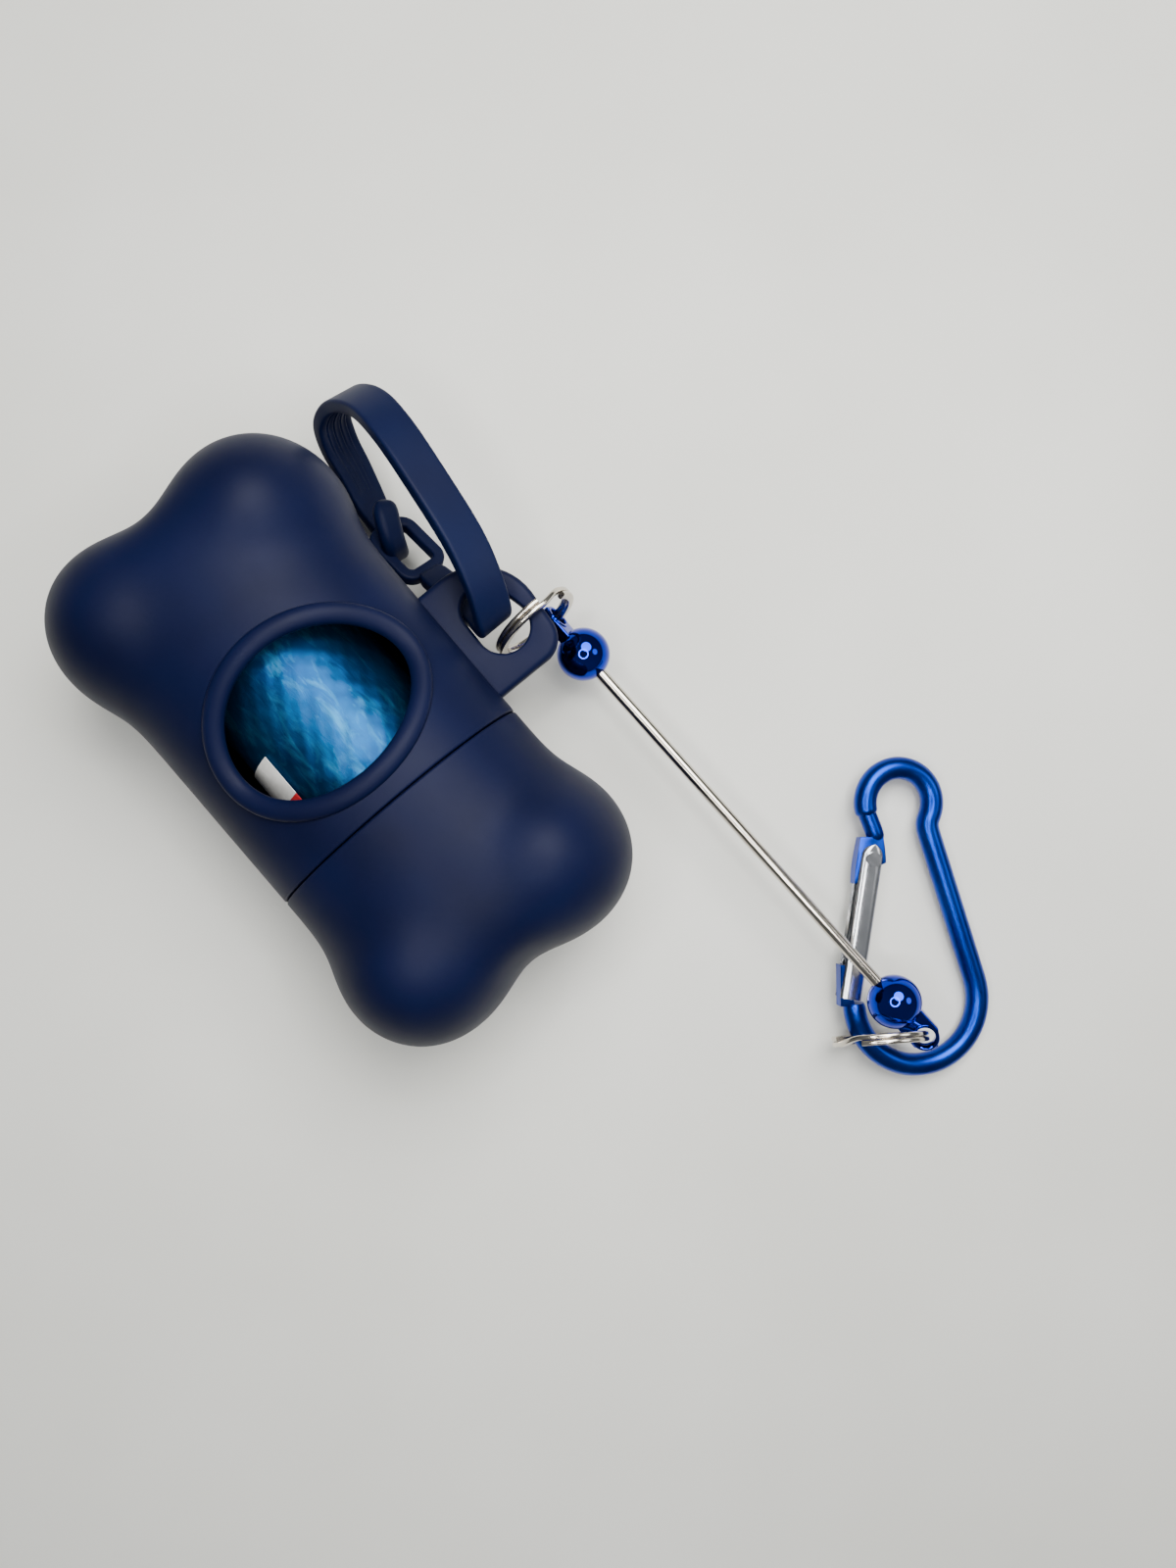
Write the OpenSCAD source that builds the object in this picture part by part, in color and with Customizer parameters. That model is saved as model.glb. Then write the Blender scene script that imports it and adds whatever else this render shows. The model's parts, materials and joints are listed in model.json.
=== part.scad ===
// Bone-shaped bag dispenser with a roll of bags, a moulded strap and a snap-hook charm.
// Millimetres. The dispenser lies on its back, window up; +Y runs along the bone.

/* [Bone shell] */
// Length from the middle of the bone to a lobe's centre
lobe_y = 30.6; // [27:0.1:34]
// Distance from the bone's centre line to a lobe's centre
lobe_x = 11.3; // [8:0.1:13]
// Radius of a lobe in plan
lobe_r = 12; // [11:0.1:14]
// Half thickness of a lobe
lobe_h = 16.8; // [16.5:0.1:19]
// Half width of the waist
waist_a = 21; // [19:0.1:22]
// Half thickness of the waist
waist_h = 17; // [16.5:0.1:18]
// Half length of the waist before it melts into the lobes
waist_l = 37.3; // [34:0.1:39]
// Radius of the blend between the waist and the lobes
blend = 1.5; // [1:0.1:4]
// Radius of the blend between the two lobes of an end
lobe_blend = 4; // [2:0.1:6]
// Wall thickness of the shell and the cap
wall = 1.6; // [1.2:0.1:2]

/* [End cap] */
// Where the cap parts from the shell, along the bone
cut_y = -12.3; // [-16:0.1:-10]
// Gap between the rims of shell and cap
rim_gap = 0.2; // [0.1:0.05:0.4]
// Bevel on each rim
rim_bevel = 0.3; // [0.1:0.05:0.6]
// Length of the push-fit collar inside the shell
collar_len = 5; // [3:0.5:8]
// Thickness of the collar
collar_t = 0.9; // [0.7:0.1:1.2]
// Clearance of the collar in the shell
collar_gap = 0.12; // [0.05:0.01:0.2]

/* [Window] */
// Middle of the window along the bone
window_y = 3.1; // [0:0.1:5]
// Middle of the window towards the lug
window_x = 1.5; // [0:0.1:3]
// Half width of the opening across the bone
window_a = 13.2; // [11:0.1:14]
// Half width of the opening along the bone
window_b = 10.4; // [8:0.1:11]
// Radius of the bead around the window
bead_r = 1.45; // [1:0.1:2]
// Height of the bead's round
bead_h = 0.95; // [0.7:0.05:1.4]
// How far the bead's centre is sunk below the surface
bead_sink = 0.1; // [0:0.1:1]
// How far the bead's middle line lies outside the opening along the bone
bead_out = 1.16; // [0.8:0.01:2]

/* [Lug] */
// Thickness of the lug plate
lug_t = 3; // [2.4:0.1:4]
// Furthest reach of the lug from the bone's centre line
lug_x = 33.9; // [31:0.05:35]
// Radius of the lug's big outer round
lug_r = 9.2; // [8:0.1:10]
// Middle of the lug along the bone
lug_y = -0.5; // [-4:0.1:1]
// Radius of the lug's lower corner
lug_corner = 4; // [3:0.1:5]
// Rounding of the lug's edges
lug_edge = 0.9; // [0.4:0.1:1.2]
// Radius of the eye at its wide end
eye_r = 3.85; // [3:0.05:4]
// Radius of the eye at its narrow end
eye_top_r = 3.4; // [3:0.05:3.6]
// Distance between the two rounds of the eye
eye_len = 3.45; // [3:0.05:4]
// Plate left between the eye and the lug's outer edge
eye_rim = 2.5; // [2:0.05:3.5]
// How far the eye's wide end lies below the lug's middle
eye_drop = 1.65; // [1:0.05:2]
// How far the eye's narrow end leans towards the bone
eye_skew = 0.35; // [0:0.05:1]

/* [Bag roll] */
// Radius of the roll of film bags
roll_r = 13; // [10:0.1:14]
// Length of the roll
roll_len = 58; // [50:1:62]
// Outer radius of the cardboard core
core_r = 7; // [5:0.1:8]
// Wall of the cardboard core
core_t = 0.9; // [0.5:0.1:1.5]
// Length of the core
core_len = 59; // [52:1:62]
// Thickness of the paper band
paper_t = 0.15; // [0.1:0.05:0.2]
// Width of the paper band along the roll
paper_w = 24; // [10:1:40]
// End of the paper band towards the closed end of the bone
paper_y = 4; // [0:0.5:10]
// Gap under the roll
roll_gap = 0.6; // [0.2:0.05:1]

/* [Strap] */
// Width of the strap band
strap_w = 6; // [5:0.1:6.5]
// Thickness of the strap band
strap_t = 2; // [1.6:0.1:2.2]
// Width of the neck that passes through the lug
neck_w = 4.6; // [3.5:0.1:5]
// Width of the hook
hook_w = 3.8; // [2:0.1:4]
// Thickness of the hook
hook_t = 2.6; // [2:0.1:3]
// Bevel along the band's edges
strap_bevel = 0.4; // [0.2:0.05:0.6]
// Width of the eye link at the strap's end
link_w = 8.4; // [7.6:0.1:8.8]
// Length of the eye link
link_len = 10.6; // [9:0.1:11]
// Width of the link's bars
link_bar = 1.8; // [1.4:0.1:1.9]

/* [Split rings] */
// Inside radius of the upper split ring
upper_ri = 5.6; // [5.4:0.05:6.4]
// Inside radius of the lower split ring
lower_ri = 6; // [5.6:0.05:6.4]
// Radial width of the ring's wire
wire_r = 1.2; // [0.9:0.05:1.3]
// Axial width of the ring's wire
wire_a = 0.75; // [0.6:0.05:0.8]
// Gap between the two turns
turn_gap = 0.42; // [0.41:0.01:0.5]

/* [Bead bar] */
// Radius of an end ball
ball_r = 4; // [3.5:0.1:4.2]
// Distance between the centres of the end balls
bar_len = 69.4; // [60:0.1:75]
// Radius of the bar
rod_r = 0.9; // [0.7:0.05:1.2]
// Running clearance of the bar in the screw-off ball
rod_gap = 0.05; // [0.02:0.01:0.1]
// Depth of the bar in each ball
rod_depth = 3; // [2:0.1:3.8]
// Distance from a ball's centre to the hole of its eye
tab_out = 6.7; // [6.2:0.1:7]
// Width of an eye tab
tab_w = 4.5; // [4.3:0.1:5]
// Thickness of an eye tab
tab_t = 1.8; // [1.4:0.1:2]
// Radius of the hole in an eye tab
tab_hole = 1.5; // [1.45:0.05:1.6]

/* [Snap hook] */
// Radius of the frame's wire
frame_r = 1.75; // [1.5:0.05:1.9]
// Mean radius of the wide end
basket_r = 10; // [9:0.1:10.5]
// Mean radius of the head
head_r = 5.4; // [5:0.1:5.8]
// Radius of the thin neck under the head
nose_r = 1.4; // [1.2:0.05:1.5]
// Width of the gate's channel
gate_w = 3.8; // [3.2:0.1:4]
// Height of the gate's channel
gate_h = 3.4; // [3.2:0.1:3.6]
// Sheet thickness of the gate
gate_t = 0.5; // [0.4:0.05:0.6]
// Length of the gate
gate_len = 23.8; // [23:0.1:23.9]
// Distance from the rivet to the gate's short end
gate_over = 2.3; // [2:0.1:2.5]
// Clearance between the gate's cheeks and the plates inside it
gate_gap = 0.1; // [0.05:0.05:0.2]
// Radius of the rivet's shank
rivet_r = 0.8; // [0.6:0.05:0.9]
// Running clearance of the rivet in the frame
rivet_gap = 0.05; // [0.02:0.01:0.08]
// Radius of the rivet's heads
rivet_head = 1.15; // [1:0.05:1.3]
// Height of the rivet's heads
rivet_dome = 0.35; // [0.2:0.05:0.5]
// Wire radius of the gate spring
spring_wire = 0.14; // [0.1:0.01:0.16]
// Mean radius of the gate spring
spring_r = 0.72; // [0.6:0.01:0.8]
// Free turns of the gate spring
spring_turns = 8; // [6:1:12]
// Length of the gate spring
spring_len = 7; // [6:0.1:8]

/* [Hidden] */
$fn = 64;
navy = [0.07, 0.12, 0.28];
film_blue = [0.22, 0.52, 0.68];
steel = [0.75, 0.72, 0.68];
metal_blue = [0.03, 0.16, 0.62];
eps = 0.01;

// ---------- the bone's surface: a level set of blended rounds ----------
fan_y = 22;
around = 60;
function sq(v) = v * v;
function ellipsoid_field(p, r) =
    let (q = norm([p[0] / r[0], p[1] / r[1], p[2] / r[2]]),
         g = norm([p[0] / sq(r[0]), p[1] / sq(r[1]), p[2] / sq(r[2])]))
    g < eps / 10 ? -min(r) : q * (q - 1) / g;
waist_power = 6;
function waist_field(p) =
    let (q = norm([p[0] / waist_a, p[2] / waist_h]),
         f = pow(pow(q, waist_power) + pow(abs(p[1]) / waist_l, waist_power), 1 / waist_power))
    (f - 1) * (waist_a + waist_h) / 2;
function blend_min(a, b, k) = let (m = min(a, b), d = abs(a - b)) m - k * ln(1 + exp(-d / k));
function one_lobe(p, side) =
    ellipsoid_field([p[0] - side * lobe_x, abs(p[1]) - lobe_y, p[2]], [lobe_r, lobe_r, lobe_h]);
function lobe_field(p) = blend_min(one_lobe(p, 1), one_lobe(p, -1), lobe_blend);
function bone_field(p) = blend_min(waist_field(p), lobe_field(p), blend);
function march(o, d, level, lo, hi, n) = n == 0 ? (lo + hi) / 2 :
    let (mid = (lo + hi) / 2)
    bone_field(o + mid * d) > level ? march(o, d, level, lo, mid, n - 1) : march(o, d, level, mid, hi, n - 1);
reach = 40;
halvings = 16;
function depth(o, d) = march(o, d, 0, 0, reach, halvings);
// The lobes' lowest points lie on the ground; the same search finds their furthest reach.
axis_z = max([
    for (x = [lobe_x - 4:1:lobe_x + 2]) for (y = [lobe_y - 8:1:lobe_y + 2]) depth([x, y, 0], [0, 0, 1])
]);
bone_half_w = max([for (y = [lobe_y - 3:0.5:lobe_y + 3]) depth([0, y, 0], [1, 0, 0])]);
bone_half_l = fan_y + max([for (x = [lobe_x - 3:0.5:lobe_x + 3]) depth([x, fan_y, 0], [0, 1, 0])]);
function surface_point(o, d, inset) = o + march(o, d, -inset, 0, reach, halvings) * d + [0, 0, axis_z];
function top_z(x, y, inset) = surface_point([x, y, 0], [0, 0, 1], inset)[2];
function ray(phi, theta, side) = [cos(phi) * cos(theta), side * sin(phi), cos(phi) * sin(theta)];

// A closed skin through rings of [station along the bone, fan angle, inset], from pole to pole.
module bone_skin(rings, side, first_inset, last_inset) {
    pole_o = [0, side * fan_y, 0];
    points = concat(
        [surface_point(pole_o, [0, side, 0], first_inset)],
        [for (r = rings) for (j = [0:around - 1])
            surface_point([0, r[0], 0], ray(r[1], 360 * j / around, side), r[2])],
        [surface_point(pole_o, [0, side, 0], last_inset)]);
    count = len(rings);
    last = 1 + count * around;
    faces = concat(
        [for (j = [0:around - 1]) [0, 1 + (j + 1) % around, 1 + j]],
        [for (i = [0:count - 2]) for (j = [0:around - 1])
            let (a = 1 + i * around + j, b = 1 + i * around + (j + 1) % around) [a, b, b + around]],
        [for (i = [0:count - 2]) for (j = [0:around - 1])
            let (a = 1 + i * around + j, b = 1 + i * around + (j + 1) % around) [a, b + around, a + around]],
        [for (j = [0:around - 1]) [last, last - around + j, last - around + (j + 1) % around]]);
    polyhedron(points, side > 0 ? [for (f = faces) [f[2], f[1], f[0]]] : faces);
}
fan_step = 6;
inner_step = 10;
fan_limit = 84;
inner_limit = 80;
shell_rim = cut_y + rim_gap / 2;
cap_rim = cut_y - rim_gap / 2;
shell_stations = [20, 17, 14, 8, 2, -4, shell_rim + rim_bevel];
inner_stations = [20, 16, 4];
cap_stations = [-20, -17, cap_rim - rim_bevel];
spigot_in = wall + collar_gap;
collar_root = 1.2;
spigot_foot = cap_rim - collar_root;

module bone_shell() {
    bone_skin(concat(
        [for (p = [fan_limit:-fan_step:0]) [fan_y, p, 0]],
        [for (y = shell_stations) [y, 0, 0]],
        [[shell_rim, 0, rim_bevel], [shell_rim, 0, wall]],
        [for (i = [len(inner_stations) - 1:-1:0]) [inner_stations[i], 0, wall]],
        [for (p = [0:inner_step:inner_limit]) [fan_y, p, wall]]), 1, 0, wall);
}

// The bead around the window follows the curved surface.
bead_steps = 40;
function bead_point(i) =
    let (t = 360 * i / bead_steps, a = window_a + bead_r, b = window_b + bead_out,
         x = window_x + a * cos(t), y = window_y + b * sin(t))
    [x, y, top_z(x, y, 0) - bead_sink];
module window_bead() {
    for (i = [0:bead_steps - 1]) hull() {
        for (k = [i, i + 1])
            translate(bead_point(k)) scale([1, 1, bead_h / bead_r]) sphere(r = bead_r, $fn = 14);
    }
}
module window_cut() {
    translate([window_x, window_y, axis_z])
        scale([window_a / window_b, 1, 1]) cylinder(r = window_b, h = reach);
}

// The lug: a flat plate with rounded edges and an egg-shaped eye.
eye_x = lug_x - eye_rim - eye_r;
eye_y = lug_y - eye_drop;
root_bite = 1.12;
lug_root = waist_a - root_bite;
corner_in = 0.5;
corner_drop = 0.2;
module lug_outline(inset) {
    intersection() {
        hull() {
            translate([lug_x - lug_r, lug_y]) circle(r = lug_r - inset);
            translate([lug_x - corner_in - lug_corner, lug_y - lug_r + lug_corner - corner_drop])
                circle(r = lug_corner - inset);
            translate([lug_root, lug_y - lug_r + inset]) square([1, 2 * (lug_r - inset)]);
        }
        translate([lug_root, lug_y - 2 * lug_r]) square(4 * lug_r);
    }
}
module eye_outline(grow) {
    hull() {
        translate([eye_x, eye_y]) circle(r = eye_r + grow);
        translate([eye_x - eye_skew, eye_y + eye_len]) circle(r = eye_top_r + grow);
    }
}
edge_steps = 3;
eye_round = 0.5;
module lug() {
    translate([0, 0, axis_z - lug_t / 2]) for (i = [0:edge_steps]) {
        a = 90 * i / edge_steps;
        lift = lug_edge * (1 - sin(a));
        translate([0, 0, lift]) linear_extrude(lug_t - 2 * lift) difference() {
            lug_outline(lug_edge * (1 - cos(a)));
            eye_outline(lug_edge * (1 - cos(a)) * eye_round);
        }
    }
}

module main_shell() {
    color(navy) union() {
        difference() {
            union() {
                bone_shell();
                window_bead();
            }
            window_cut();
        }
        lug();
    }
}

module end_cap() {
    color(navy) bone_skin(concat(
        [for (p = [fan_limit:-fan_step:0]) [-fan_y, p, 0]],
        [for (y = cap_stations) [y, 0, 0]],
        [[cap_rim, 0, rim_bevel], [cap_rim, 0, spigot_in]],
        [[cap_rim + collar_len, 0, spigot_in], [cap_rim + collar_len, 0, spigot_in + collar_t]],
        [[spigot_foot, 0, spigot_in + collar_t], [spigot_foot, 0, wall]],
        [for (p = [0:inner_step:inner_limit]) [-fan_y, p, wall]]), -1, 0, wall);
}

// ---------- the roll of bags ----------
roll_z = axis_z - (waist_h - spigot_in - collar_t - roll_gap - roll_r - paper_t);
module tube_y(y0, len, r_out, r_in) {
    translate([0, y0, roll_z]) rotate([-90, 0, 0]) difference() {
        cylinder(r = r_out, h = len);
        translate([0, 0, -1]) cylinder(r = r_in, h = len + 2);
    }
}
module bag_roll() { color(film_blue) tube_y(-roll_len / 2, roll_len, roll_r, core_r); }
module roll_core() { color("tan") tube_y(-core_len / 2, core_len, core_r, core_r - core_t); }
paper_from = 130;
paper_turn = 210;
module paper_band() {
    color("white") translate([0, paper_y, roll_z]) rotate([90, 0, 0]) rotate([0, 0, paper_from])
        rotate_extrude(angle = paper_turn) translate([roll_r, 0]) square([paper_t, paper_w]);
}

// ---------- sweeping a section along a path ----------
function unit(v) = v / norm(v);
function spline(p, i, t) =
    let (n = len(p) - 1, a = p[max(i - 1, 0)], b = p[i], c = p[min(i + 1, n)], d = p[min(i + 2, n)])
    0.5 * ((2 * b) + (c - a) * t + (2 * a - 5 * b + 4 * c - d) * t * t + (3 * b - a - 3 * c + d) * t * t * t);
function smooth(p, steps) = concat(
    [for (i = [0:len(p) - 2]) for (k = [0:steps - 1]) spline(p, i, k / steps)], [p[len(p) - 1]]);
// path: points; wide: the direction of the section's first axis; sections: outlines, one per point
module sweep(path, wide, sections) {
    n = len(path);
    m = len(sections[0]);
    points = [for (i = [0:n - 1])
        let (t = unit(path[min(i + 1, n - 1)] - path[max(i - 1, 0)]),
             w = unit(wide[i] - (wide[i] * t) * t),
             u = cross(t, w))
        for (q = sections[i]) path[i] + q[0] * w + q[1] * u];
    faces = concat(
        [[for (j = [m - 1:-1:0]) j]],
        [for (i = [0:n - 2]) for (j = [0:m - 1]) let (a = i * m + j, b = i * m + (j + 1) % m) [a, b, b + m]],
        [for (i = [0:n - 2]) for (j = [0:m - 1])
            let (a = i * m + j, b = i * m + (j + 1) % m) [a, b + m, a + m]],
        [[for (j = [0:m - 1]) (n - 1) * m + j]]);
    polyhedron(points, [for (f = faces) [for (k = [len(f) - 1:-1:0]) f[k]]]);
}
function bevelled(w, t, b) = [
    [w / 2, t / 2 - b], [w / 2 - b, t / 2], [b - w / 2, t / 2], [-w / 2, t / 2 - b],
    [-w / 2, b - t / 2], [b - w / 2, -t / 2], [w / 2 - b, -t / 2], [w / 2, b - t / 2]];

// ---------- the strap: [x, y, z, width, lean] from the link, through the lug and back to the hook ----------
taper = 0.4;
link_lean = 28;
eye_lean = 8;
top_lean = 18;
strap_route = [
    [24.6, 12.9, 8.4, neck_w, link_lean], [25.1, 10, 9.8, neck_w, link_lean],
    [25.6, 6.4, 11.6, neck_w, top_lean],
    [26.2, 2, 14.6, neck_w, eye_lean], [26.6, -0.6, 17.9, strap_w - 2 * taper, eye_lean],
    [27.4, -0.5, 21.2, strap_w - taper, eye_lean], [29.2, 3.2, 24, strap_w - taper, top_lean],
    [31, 9.5, 25.3, strap_w, link_lean], [32.4, 19, 25.9, strap_w, link_lean],
    [33.3, 27, 25, strap_w, link_lean],
    [33.2, 33, 22, strap_w, link_lean], [31.3, 37, 17.8, strap_w, link_lean],
    [28.6, 37.8, 13.4, strap_w, link_lean],
    [27, 35.6, 10, strap_w, link_lean], [26, 31.6, 7.6, strap_w - taper, link_lean],
    [24.9, 27.6, 5.6, strap_w - 2 * taper, link_lean], [24.1, 23.8, 4.4, hook_w + taper, link_lean],
    [23.5, 20.8, 4.2, hook_w, link_lean], [22.9, 18.4, 6.6, hook_w, link_lean],
    [23.6, 19.2, 9.9, hook_w, link_lean],
    [25, 21.8, 11.3, hook_w, link_lean], [26.4, 24.4, 11, hook_w, link_lean]];
function lean(a) = [cos(a), 0, -sin(a)];
function strap_thick(w) = strap_t + (hook_t - strap_t) * max(0, min(1, (hook_w + taper - w) / taper));
link_mid = [24.3, 17.5, 7.4];
link_rise = -9;
link_corner = 2.6;
module link_outline(inset) {
    hull() for (x = [-1, 1]) for (y = [-1, 1])
        translate([x * (link_w / 2 - link_corner), y * (link_len / 2 - link_corner)])
            circle(r = link_corner - inset, $fn = 32);
}
module strap() {
    route = smooth(strap_route, 3);
    path = [for (p = route) [p[0], p[1], p[2]]];
    color(navy) union() {
        sweep(path, [for (p = route) lean(p[4])],
            [for (p = route) bevelled(p[3], strap_thick(p[3]), strap_bevel)]);
        translate(link_mid) rotate([0, link_lean, 0]) rotate([link_rise, 0, 0])
            translate([0, 0, -strap_t / 2]) linear_extrude(strap_t) difference() {
                link_outline(0);
                link_outline(link_bar);
            }
    }
}

// ---------- the bead bar: its frame has the upper ball at the origin and the bar along -Y ----------
bar_start = [34.35, -11.75, 8.3];
bar_yaw = 1.24;
bar_pitch = 1.4;
upper_roll = -20;
lower_roll = -15;
function turn_z(v, a) = [v[0] * cos(a) - v[1] * sin(a), v[0] * sin(a) + v[1] * cos(a), v[2]];
function turn_x(v, a) = [v[0], v[1] * cos(a) - v[2] * sin(a), v[1] * sin(a) + v[2] * cos(a)];
function turn_y(v, a) = [v[0] * cos(a) + v[2] * sin(a), v[1], -v[0] * sin(a) + v[2] * cos(a)];
function from_bar(v) = bar_start + turn_z(turn_x(v, -bar_pitch), bar_yaw);
module in_bar() { translate(bar_start) rotate([-bar_pitch, 0, bar_yaw]) children(); }
tab_point = 2.2;
tab_root = 1.2;
tab_cheek = 0.3;
tab_tip = 0.6;
module eye_ball(side, roll, bore) {
    difference() {
        union() {
            sphere(r = ball_r, $fn = 96);
            rotate([0, roll, 0]) translate([0, 0, -tab_t / 2]) linear_extrude(tab_t) polygon([
                [-tab_w / 2, side * (ball_r - tab_root)], [tab_w / 2, side * (ball_r - tab_root)],
                [tab_w / 2, side * (tab_out + tab_cheek)], [tab_tip, side * (tab_out + tab_point)],
                [-tab_tip, side * (tab_out + tab_point)], [-tab_w / 2, side * (tab_out + tab_cheek)]]);
        }
        rotate([0, roll, 0]) translate([0, side * tab_out, -tab_t]) cylinder(r = tab_hole, h = 2 * tab_t);
        rotate([90, 0, 0]) translate([0, 0, side * (ball_r - rod_depth)])
            mirror([0, 0, side > 0 ? 0 : 1]) cylinder(r = bore, h = ball_r);
    }
}
module upper_ball_eye() { color(metal_blue) in_bar() eye_ball(1, 90 + upper_roll, rod_r); }
module lower_ball_eye() {
    color(metal_blue) in_bar() translate([0, -bar_len, 0]) eye_ball(-1, lower_roll, rod_r + rod_gap);
}
module bead_rod() {
    foot = ball_r - rod_depth;
    color(steel) in_bar() translate([0, -foot, 0]) rotate([90, 0, 0])
        cylinder(r = rod_r, h = bar_len - 2 * foot - rod_gap);
}

// ---------- split rings: one wire, two turns, hung in an eye of the bead bar ----------
upper_r = upper_ri + wire_r / 2;
lower_r = lower_ri + wire_r / 2;
ring_steps = 38;
ring_sweep = 680;
cross_over = 0.055;
turn_pitch = wire_a + turn_gap;
function ease(t) = t < 0 ? 0 : t > 1 ? 1 : t * t * (3 - 2 * t);
function ring_point(c, r, h, v, from, k) =
    let (t = k / (2 * ring_steps), a = from + ring_sweep * t,
         s = turn_pitch * (ease((t - 0.5) / cross_over + 0.5) - 0.5))
    c + r * (cos(a) * h + sin(a) * v) + s * cross(h, v);
function ring_path(c, r, h, v, from) = [for (k = [0:2 * ring_steps]) ring_point(c, r, h, v, from, k)];
wire_corner = 0.2;
module split_ring(c, r, h, v, from) {
    path = ring_path(c, r, h, v, from);
    sweep(path, [for (p = path) p - c], [for (p = path) bevelled(wire_r, wire_a, wire_corner)]);
    far = [for (i = [0:ring_steps]) for (j = [i + ring_steps - 8:2 * ring_steps])
        if (j - i > ring_steps / 2) norm(path[i] - path[j])];
    echo(gap_between_turns = min(far) - wire_a);
}
upper_eye = from_bar([0, tab_out, 0]);
lower_eye = from_bar([0, -bar_len - tab_out, 0]);
upper_lean = 9;
upper_h = [1, 0, 0];
upper_v = [0, sin(upper_lean), cos(upper_lean)];
upper_hang = -65;
upper_ends = 73;
upper_ring_mid = upper_eye - upper_r * (cos(upper_hang) * upper_h + sin(upper_hang) * upper_v);
lower_lean = 12;
lower_h = unit([0.8055, -0.592, 0]);
lower_v = [-lower_h[1] * sin(lower_lean), lower_h[0] * sin(lower_lean), cos(lower_lean)];
lower_hang = 24;
lower_ends = 165;
lower_ring_mid = lower_eye - lower_r * (cos(lower_hang) * lower_h + sin(lower_hang) * lower_v);
module upper_split_ring() { color(steel) split_ring(upper_ring_mid, upper_r, upper_h, upper_v, upper_ends); }
module lower_split_ring() { color(steel) split_ring(lower_ring_mid, lower_r, lower_h, lower_v, lower_ends); }

// ---------- the snap hook, drawn flat in its own frame with the gate on the left ----------
hook_hang = [16.903, 8.979];
hook_at = [lower_ring_mid[0], lower_ring_mid[1]] + hook_hang;
hook_turn = -39;
hook_roll = 8;
basket_mid = [-0.75, -12.75];
head_mid = [-2.75, 17.7];
kink = [1.55, 14.4];
head_from = atan2(kink[1] - head_mid[1], kink[0] - head_mid[0]);
head_to = 198;
nose_from = 190;
nose_start = head_mid + head_r * [cos(nose_from), sin(nose_from)];
nose_end = [-6.37, 12.13];
seam = 0.03;
pivot = [-7.7, 9.2];
gate_lean = -10.5;
side_run = kink - basket_mid;
side_angle = atan2(side_run[1], side_run[0]) - acos(basket_r / norm(side_run));
side_start = basket_mid + basket_r * [cos(side_angle), sin(side_angle)];
ground_gap = 0.02;
hook_z = frame_r + (basket_r + basket_mid[0]) * sin(hook_roll) + ground_gap;
function from_hook(v) =
    turn_z(turn_y([v[0], v[1], 0], hook_roll), hook_turn) + [hook_at[0], hook_at[1], hook_z];
module in_hook() {
    translate([hook_at[0], hook_at[1], hook_z])
        rotate([0, 0, hook_turn]) rotate([0, hook_roll, 0]) children();
}
module in_gate() { translate([pivot[0], pivot[1], 0]) rotate([0, 0, gate_lean]) children(); }
module wire(a, b, r) {
    d = b - a;
    translate([a[0], a[1], 0]) rotate([0, 0, atan2(d[1], d[0]) - 90])
        rotate([-90, 0, 0]) cylinder(r = r, h = norm(d));
}
module bend(c, r, from, to, wire_r) {
    translate([c[0], c[1], 0]) rotate([0, 0, from])
        rotate_extrude(angle = to - from) translate([r, 0]) circle(r = wire_r);
}
module knuckle(p, r) { translate([p[0], p[1], 0]) rotate([90, 0, 0]) sphere(r = r); }
plate_h = gate_h / 2 - gate_t - gate_gap;
blade_w = 2.2;
blade_foot = [-12.1, -13];
blade_len = 6;
blade_nick = 0.3;
plate_outline = [[-1.6, 3.4], [2, 3.4], [2.2, 1.8], [2.3, 0.3], [2.3, -0.6], [1.4, -1], [0.4, -1.9],
    [-1, -2.1], [-1.7, -3.4], [-2.8, -3.6], [-2.6, -1.4], [-2.2, 0.8]];
module carabiner_frame() {
    color(metal_blue) in_hook() difference() {
        union() {
            bend(basket_mid, basket_r, -180, side_angle, frame_r);
            wire(side_start, kink, frame_r);
            for (p = [side_start, kink]) knuckle(p, frame_r + seam);
            bend(head_mid, head_r, head_from, head_to, frame_r);
            wire(nose_start, nose_end, nose_r);
            translate([pivot[0], pivot[1], -plate_h]) linear_extrude(2 * plate_h) polygon(plate_outline);
            translate([blade_foot[0] - blade_w / 2, blade_foot[1], -plate_h])
                linear_extrude(2 * plate_h) polygon([[0, 0], [blade_w, 0], [blade_w - blade_nick, blade_len],
                    [blade_nick / 3, blade_len + blade_nick]]);
        }
        translate([pivot[0], pivot[1], -gate_h]) cylinder(r = rivet_r + rivet_gap, h = 2 * gate_h);
    }
}
plunger_x = 0.1;
plunger_r = 0.9;
plunger_y = -3.3;
plunger_len = 1;
stem_r = 0.45;
stem_len = 2.6;
spring_from = plunger_y - plunger_len;
web_top = -2.5;
seat_w = 0.9;
seat_y = plunger_y - plunger_len - spring_len - gate_t;
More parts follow.
